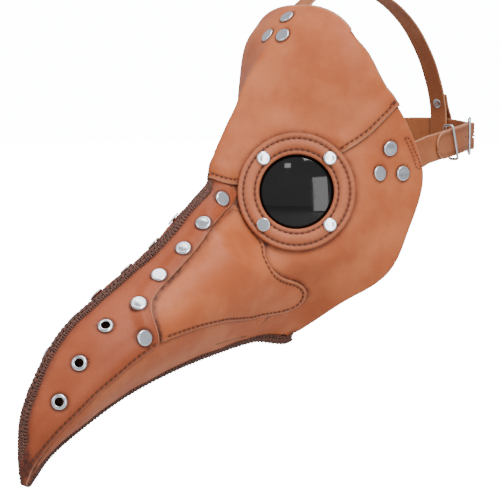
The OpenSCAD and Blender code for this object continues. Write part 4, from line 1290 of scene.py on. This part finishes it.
def make_crown_strap():
    section = strap_section(1, 0.9, 0.06)
    section = strap_section(CROWN_W / 2, STRAP_T / 2)
    root = []
    for u in np.linspace(13.2, 14.95, 14):
        v = section[:, 0] / (CROWN_W / 2) * 0.12
        p, n = skin(u, v), skin_out(u, v, False)
        root.append(p + (section[:, 1:] - 3.3) * n)
    under = [skin(u, 0) - 3.3 * skin_out(u, 0, False) for u in (14.4, 14.95)]
    path = through(np.concatenate([under, CROWN_FREE]), np.arange(8, len(CROWN_FREE) * 7 + 8) / 7)
    path = np.concatenate([path, through(CROWN_LOOP, np.arange(0, (len(CROWN_LOOP) - 1) * 4 + 1) / 4)])
    widths = np.interp(np.arange(len(path)), [0, 5], [22, CROWN_W])
    shape = strap(path, widths, np.array([1.0, 0, 0]), first_rows=root)
    piece("crown_strap_leather", shape, [strap_hide], ["crown_strap"])
    a = math.radians(-80)
    frame_at = (np.array([0, 105.6, 78]), np.array([1.0, 0, 0]),
                np.array([0, math.cos(a), math.sin(a)]), np.array([0, -math.sin(a), math.cos(a)]))
    cap = rivet_cap(CAP_R - 1, 5.2)
    cap.points[:, 2] += 2.6
    piece("crown_loop_rivet_cap", cap.moved(*frame_at), [nickel], ["crown_loop_rivet"])
    back = rivet_back()
    back.points[:, 2] -= 2.62
    piece("crown_loop_rivet_underside", back.moved(*frame_at), [bare_steel], ["crown_loop_rivet_back"])


# ---- Buckle and keeper -----------------------------------------------------
def rounded_loop(half_a, half_b, corner, per=7):
    """Points round a rectangle with round corners, in its own plane."""
    points = []
    for k, (sa, sb) in enumerate(((1, 1), (-1, 1), (-1, -1), (1, -1))):
        for t in np.linspace(0, math.pi / 2, per):
            a = t + k * math.pi / 2
            points.append([sa * (half_a - corner) + corner * math.cos(a), sb * (half_b - corner) + corner * math.sin(a)])
    points.append(points[0])
    points = np.array(points)
    step = np.concatenate([[0], np.cumsum(np.linalg.norm(np.diff(points, axis=0), axis=1))])
    even = np.linspace(0, step[-1], 97)[:-1]
    keep = np.concatenate([np.interp(even, step, points[:, c])[:, None] for c in (0, 1)], 1)
    return keep


def on_buckle(shape):
    return shape.moved(BUCKLE_AT, ALONG_X, UP, OUTWARD)


def make_buckle():
    loop = rounded_loop(BAR_PITCH, 15.5, 3.2)
    outer = tube(np.column_stack([loop, np.full(len(loop), 0.65)]), 1.42, 14, closed=True, up=[0, 0, 1])
    bar_y = np.linspace(-15.2, 15.2, 12)
    bar = tube(np.column_stack([0 * bar_y, bar_y, 0 * bar_y]), 1.3, 16, up=[0, 0, 1])
    piece("buckle_frame_bars", on_buckle(joined([outer, bar])), [nickel], ["buckle_frame"])
    knots = np.array([[0.4, 1.5], [1.4, 2.2], [3.2, 4.3], [5.4, 5.1], [9, 4.5], [12, 3.55], [14.6, 3.05]])
    prong = through(knots, np.linspace(0, len(knots) - 1, 40))
    radius = np.interp(np.arange(40), [0, 34, 39], [0.8, 0.8, 0.45])
    prong = tube(np.column_stack([prong[:, 0], 0 * prong[:, 0], prong[:, 1]]), radius, 12, up=[0, 1, 0])
    a = 2 * math.pi * np.arange(36) / 36
    curl = np.column_stack([1.81 * np.cos(a), 0 * a, 1.81 * np.sin(a)])
    curl = tube(curl, 0.44, 12, closed=True, squash=3.2, up=[0, 1, 0])
    piece("buckle_tongue_prong", on_buckle(joined([prong, curl])), [nickel], ["buckle_tongue"], "tongue")


def make_keeper():
    ahead = unit(SIDE_RUN[4] - SIDE_RUN[2])
    turn = math.atan2(ahead[1], ahead[0])
    tilt = math.asin(ahead[2]) + math.radians(12)
    flat = np.array([math.cos(turn), math.sin(turn), 0])
    out = np.cross(flat, UP)
    up = -math.sin(tilt) * flat + math.cos(tilt) * UP
    along = math.cos(tilt) * flat + math.sin(tilt) * UP
    loop = rounded_loop(29 / 2 + 1.15, 6.1 / 2 + 1.15, 1.9)
    wire = tube(np.column_stack([0 * loop[:, 0], loop[:, 0], loop[:, 1] + TAIL_LIFT / 2]), 1.15, 12,
                closed=True, up=[1, 0, 0])
    piece("strap_keeper_wire", wire.moved(SIDE_RUN[3], along, up, out), [nickel], ["strap_keeper"],
          "keeper")


# ---- Floor, light and camera -----------------------------------------------
LOOK_AT = Vector((-0.0569, -0.0776, -0.0516))
VIEW_TURN, VIEW_LIFT, VIEW_FAR = math.radians(50), math.radians(7), 1.45


def make_floor():
    sides, radius = 96, 6.0
    points = [[radius * math.cos(2 * math.pi * k / sides), radius * math.sin(2 * math.pi * k / sides), -0.28]
              for k in range(sides)]
    mesh = bpy.data.meshes.new("studio_floor")
    mesh.from_pydata(points, [], [tuple(range(sides))])
    floor = bpy.data.objects.new("studio_floor", mesh)
    bpy.context.scene.collection.objects.link(floor)
    material, tree, shader = new_material("pale_floor")
    shader.inputs["Base Color"].default_value = (0.55, 0.55, 0.55, 1)
    shader.inputs["Roughness"].default_value = 0.9
    shader.inputs["Emission Color"].default_value = (1, 1, 1, 1)
    seen = add(tree, "LightPath").outputs["Is Camera Ray"]
    tree.links.new(math_node(tree, "MULTIPLY", seen, 16), shader.inputs["Emission Strength"])
    mesh.materials.append(material)


def softbox(name, where, size, power, colour=(1, 1, 1)):
    light = bpy.data.lights.new(name, "AREA")
    light.shape, light.size, light.size_y = "RECTANGLE", size[0], size[1]
    light.energy, light.color = power, colour
    lamp = bpy.data.objects.new(name, light)
    lamp.location = where
    lamp.rotation_euler = (LOOK_AT - Vector(where)).to_track_quat("-Z", "Y").to_euler()
    bpy.context.scene.collection.objects.link(lamp)


def seen_from(right, up, far):
    """A place this many degrees to the right of the camera and above it, as the mask sees it."""
    a, b = VIEW_TURN + math.radians(right), VIEW_LIFT + math.radians(up)
    return LOOK_AT + far * Vector((math.sin(a) * math.cos(b), -math.cos(a) * math.cos(b), math.sin(b)))


def make_studio():
    world = bpy.data.worlds.new("studio")
    bpy.context.scene.world = world
    world.use_nodes = True
    background = world.node_tree.nodes["Background"]
    background.inputs["Color"].default_value = (0.92, 0.95, 1.0, 1)
    seen = add(world.node_tree, "LightPath").outputs["Is Camera Ray"]
    strength = ramp(world.node_tree, seen, 0, 1, 0.75, 16)
    world.node_tree.links.new(strength, background.inputs["Strength"])
    softbox("key_softbox", (1.35, -0.5, 1.5), (0.8, 0.8), 27, (1, 0.98, 0.96))
    softbox("fill_softbox", (-0.35, -1.9, 0.9), (1.0, 1.4), 9, (0.97, 0.98, 1))
    softbox("top_softbox", (0.2, 0.0, 1.7), (1.2, 1.2), 16)
    softbox("side_card", seen_from(22.5, 1, 1.9), (0.4, 0.9), 6)
    softbox("high_card", seen_from(-5, 24.5, 1.9), (0.16, 0.12), 0.5)
    make_floor()


def make_camera():
    back = Vector((math.sin(VIEW_TURN) * math.cos(VIEW_LIFT),
                   -math.cos(VIEW_TURN) * math.cos(VIEW_LIFT), math.sin(VIEW_LIFT)))
    camera = bpy.data.cameras.new("camera")
    camera.lens, camera.sensor_width = 116.0, 36.0
    eye = bpy.data.objects.new("camera", camera)
    eye.location = LOOK_AT + VIEW_FAR * back
    eye.rotation_euler = (math.pi / 2 - VIEW_LIFT, 0, VIEW_TURN)
    bpy.context.scene.collection.objects.link(eye)
    bpy.context.scene.camera = eye


for side in ("left", "right"):
    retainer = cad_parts[f"{side}_lens_retainer"]
    retainer.data.materials.clear()
    retainer.data.materials.append(lining)

make_studio()
make_camera()
make_forehead()
make_cheeks()
make_sides()
make_strips()
make_seams()
make_lacing()
make_rings()
make_lenses()
make_fasteners()
make_side_straps()
make_crown_strap()
make_buckle()
make_keeper()
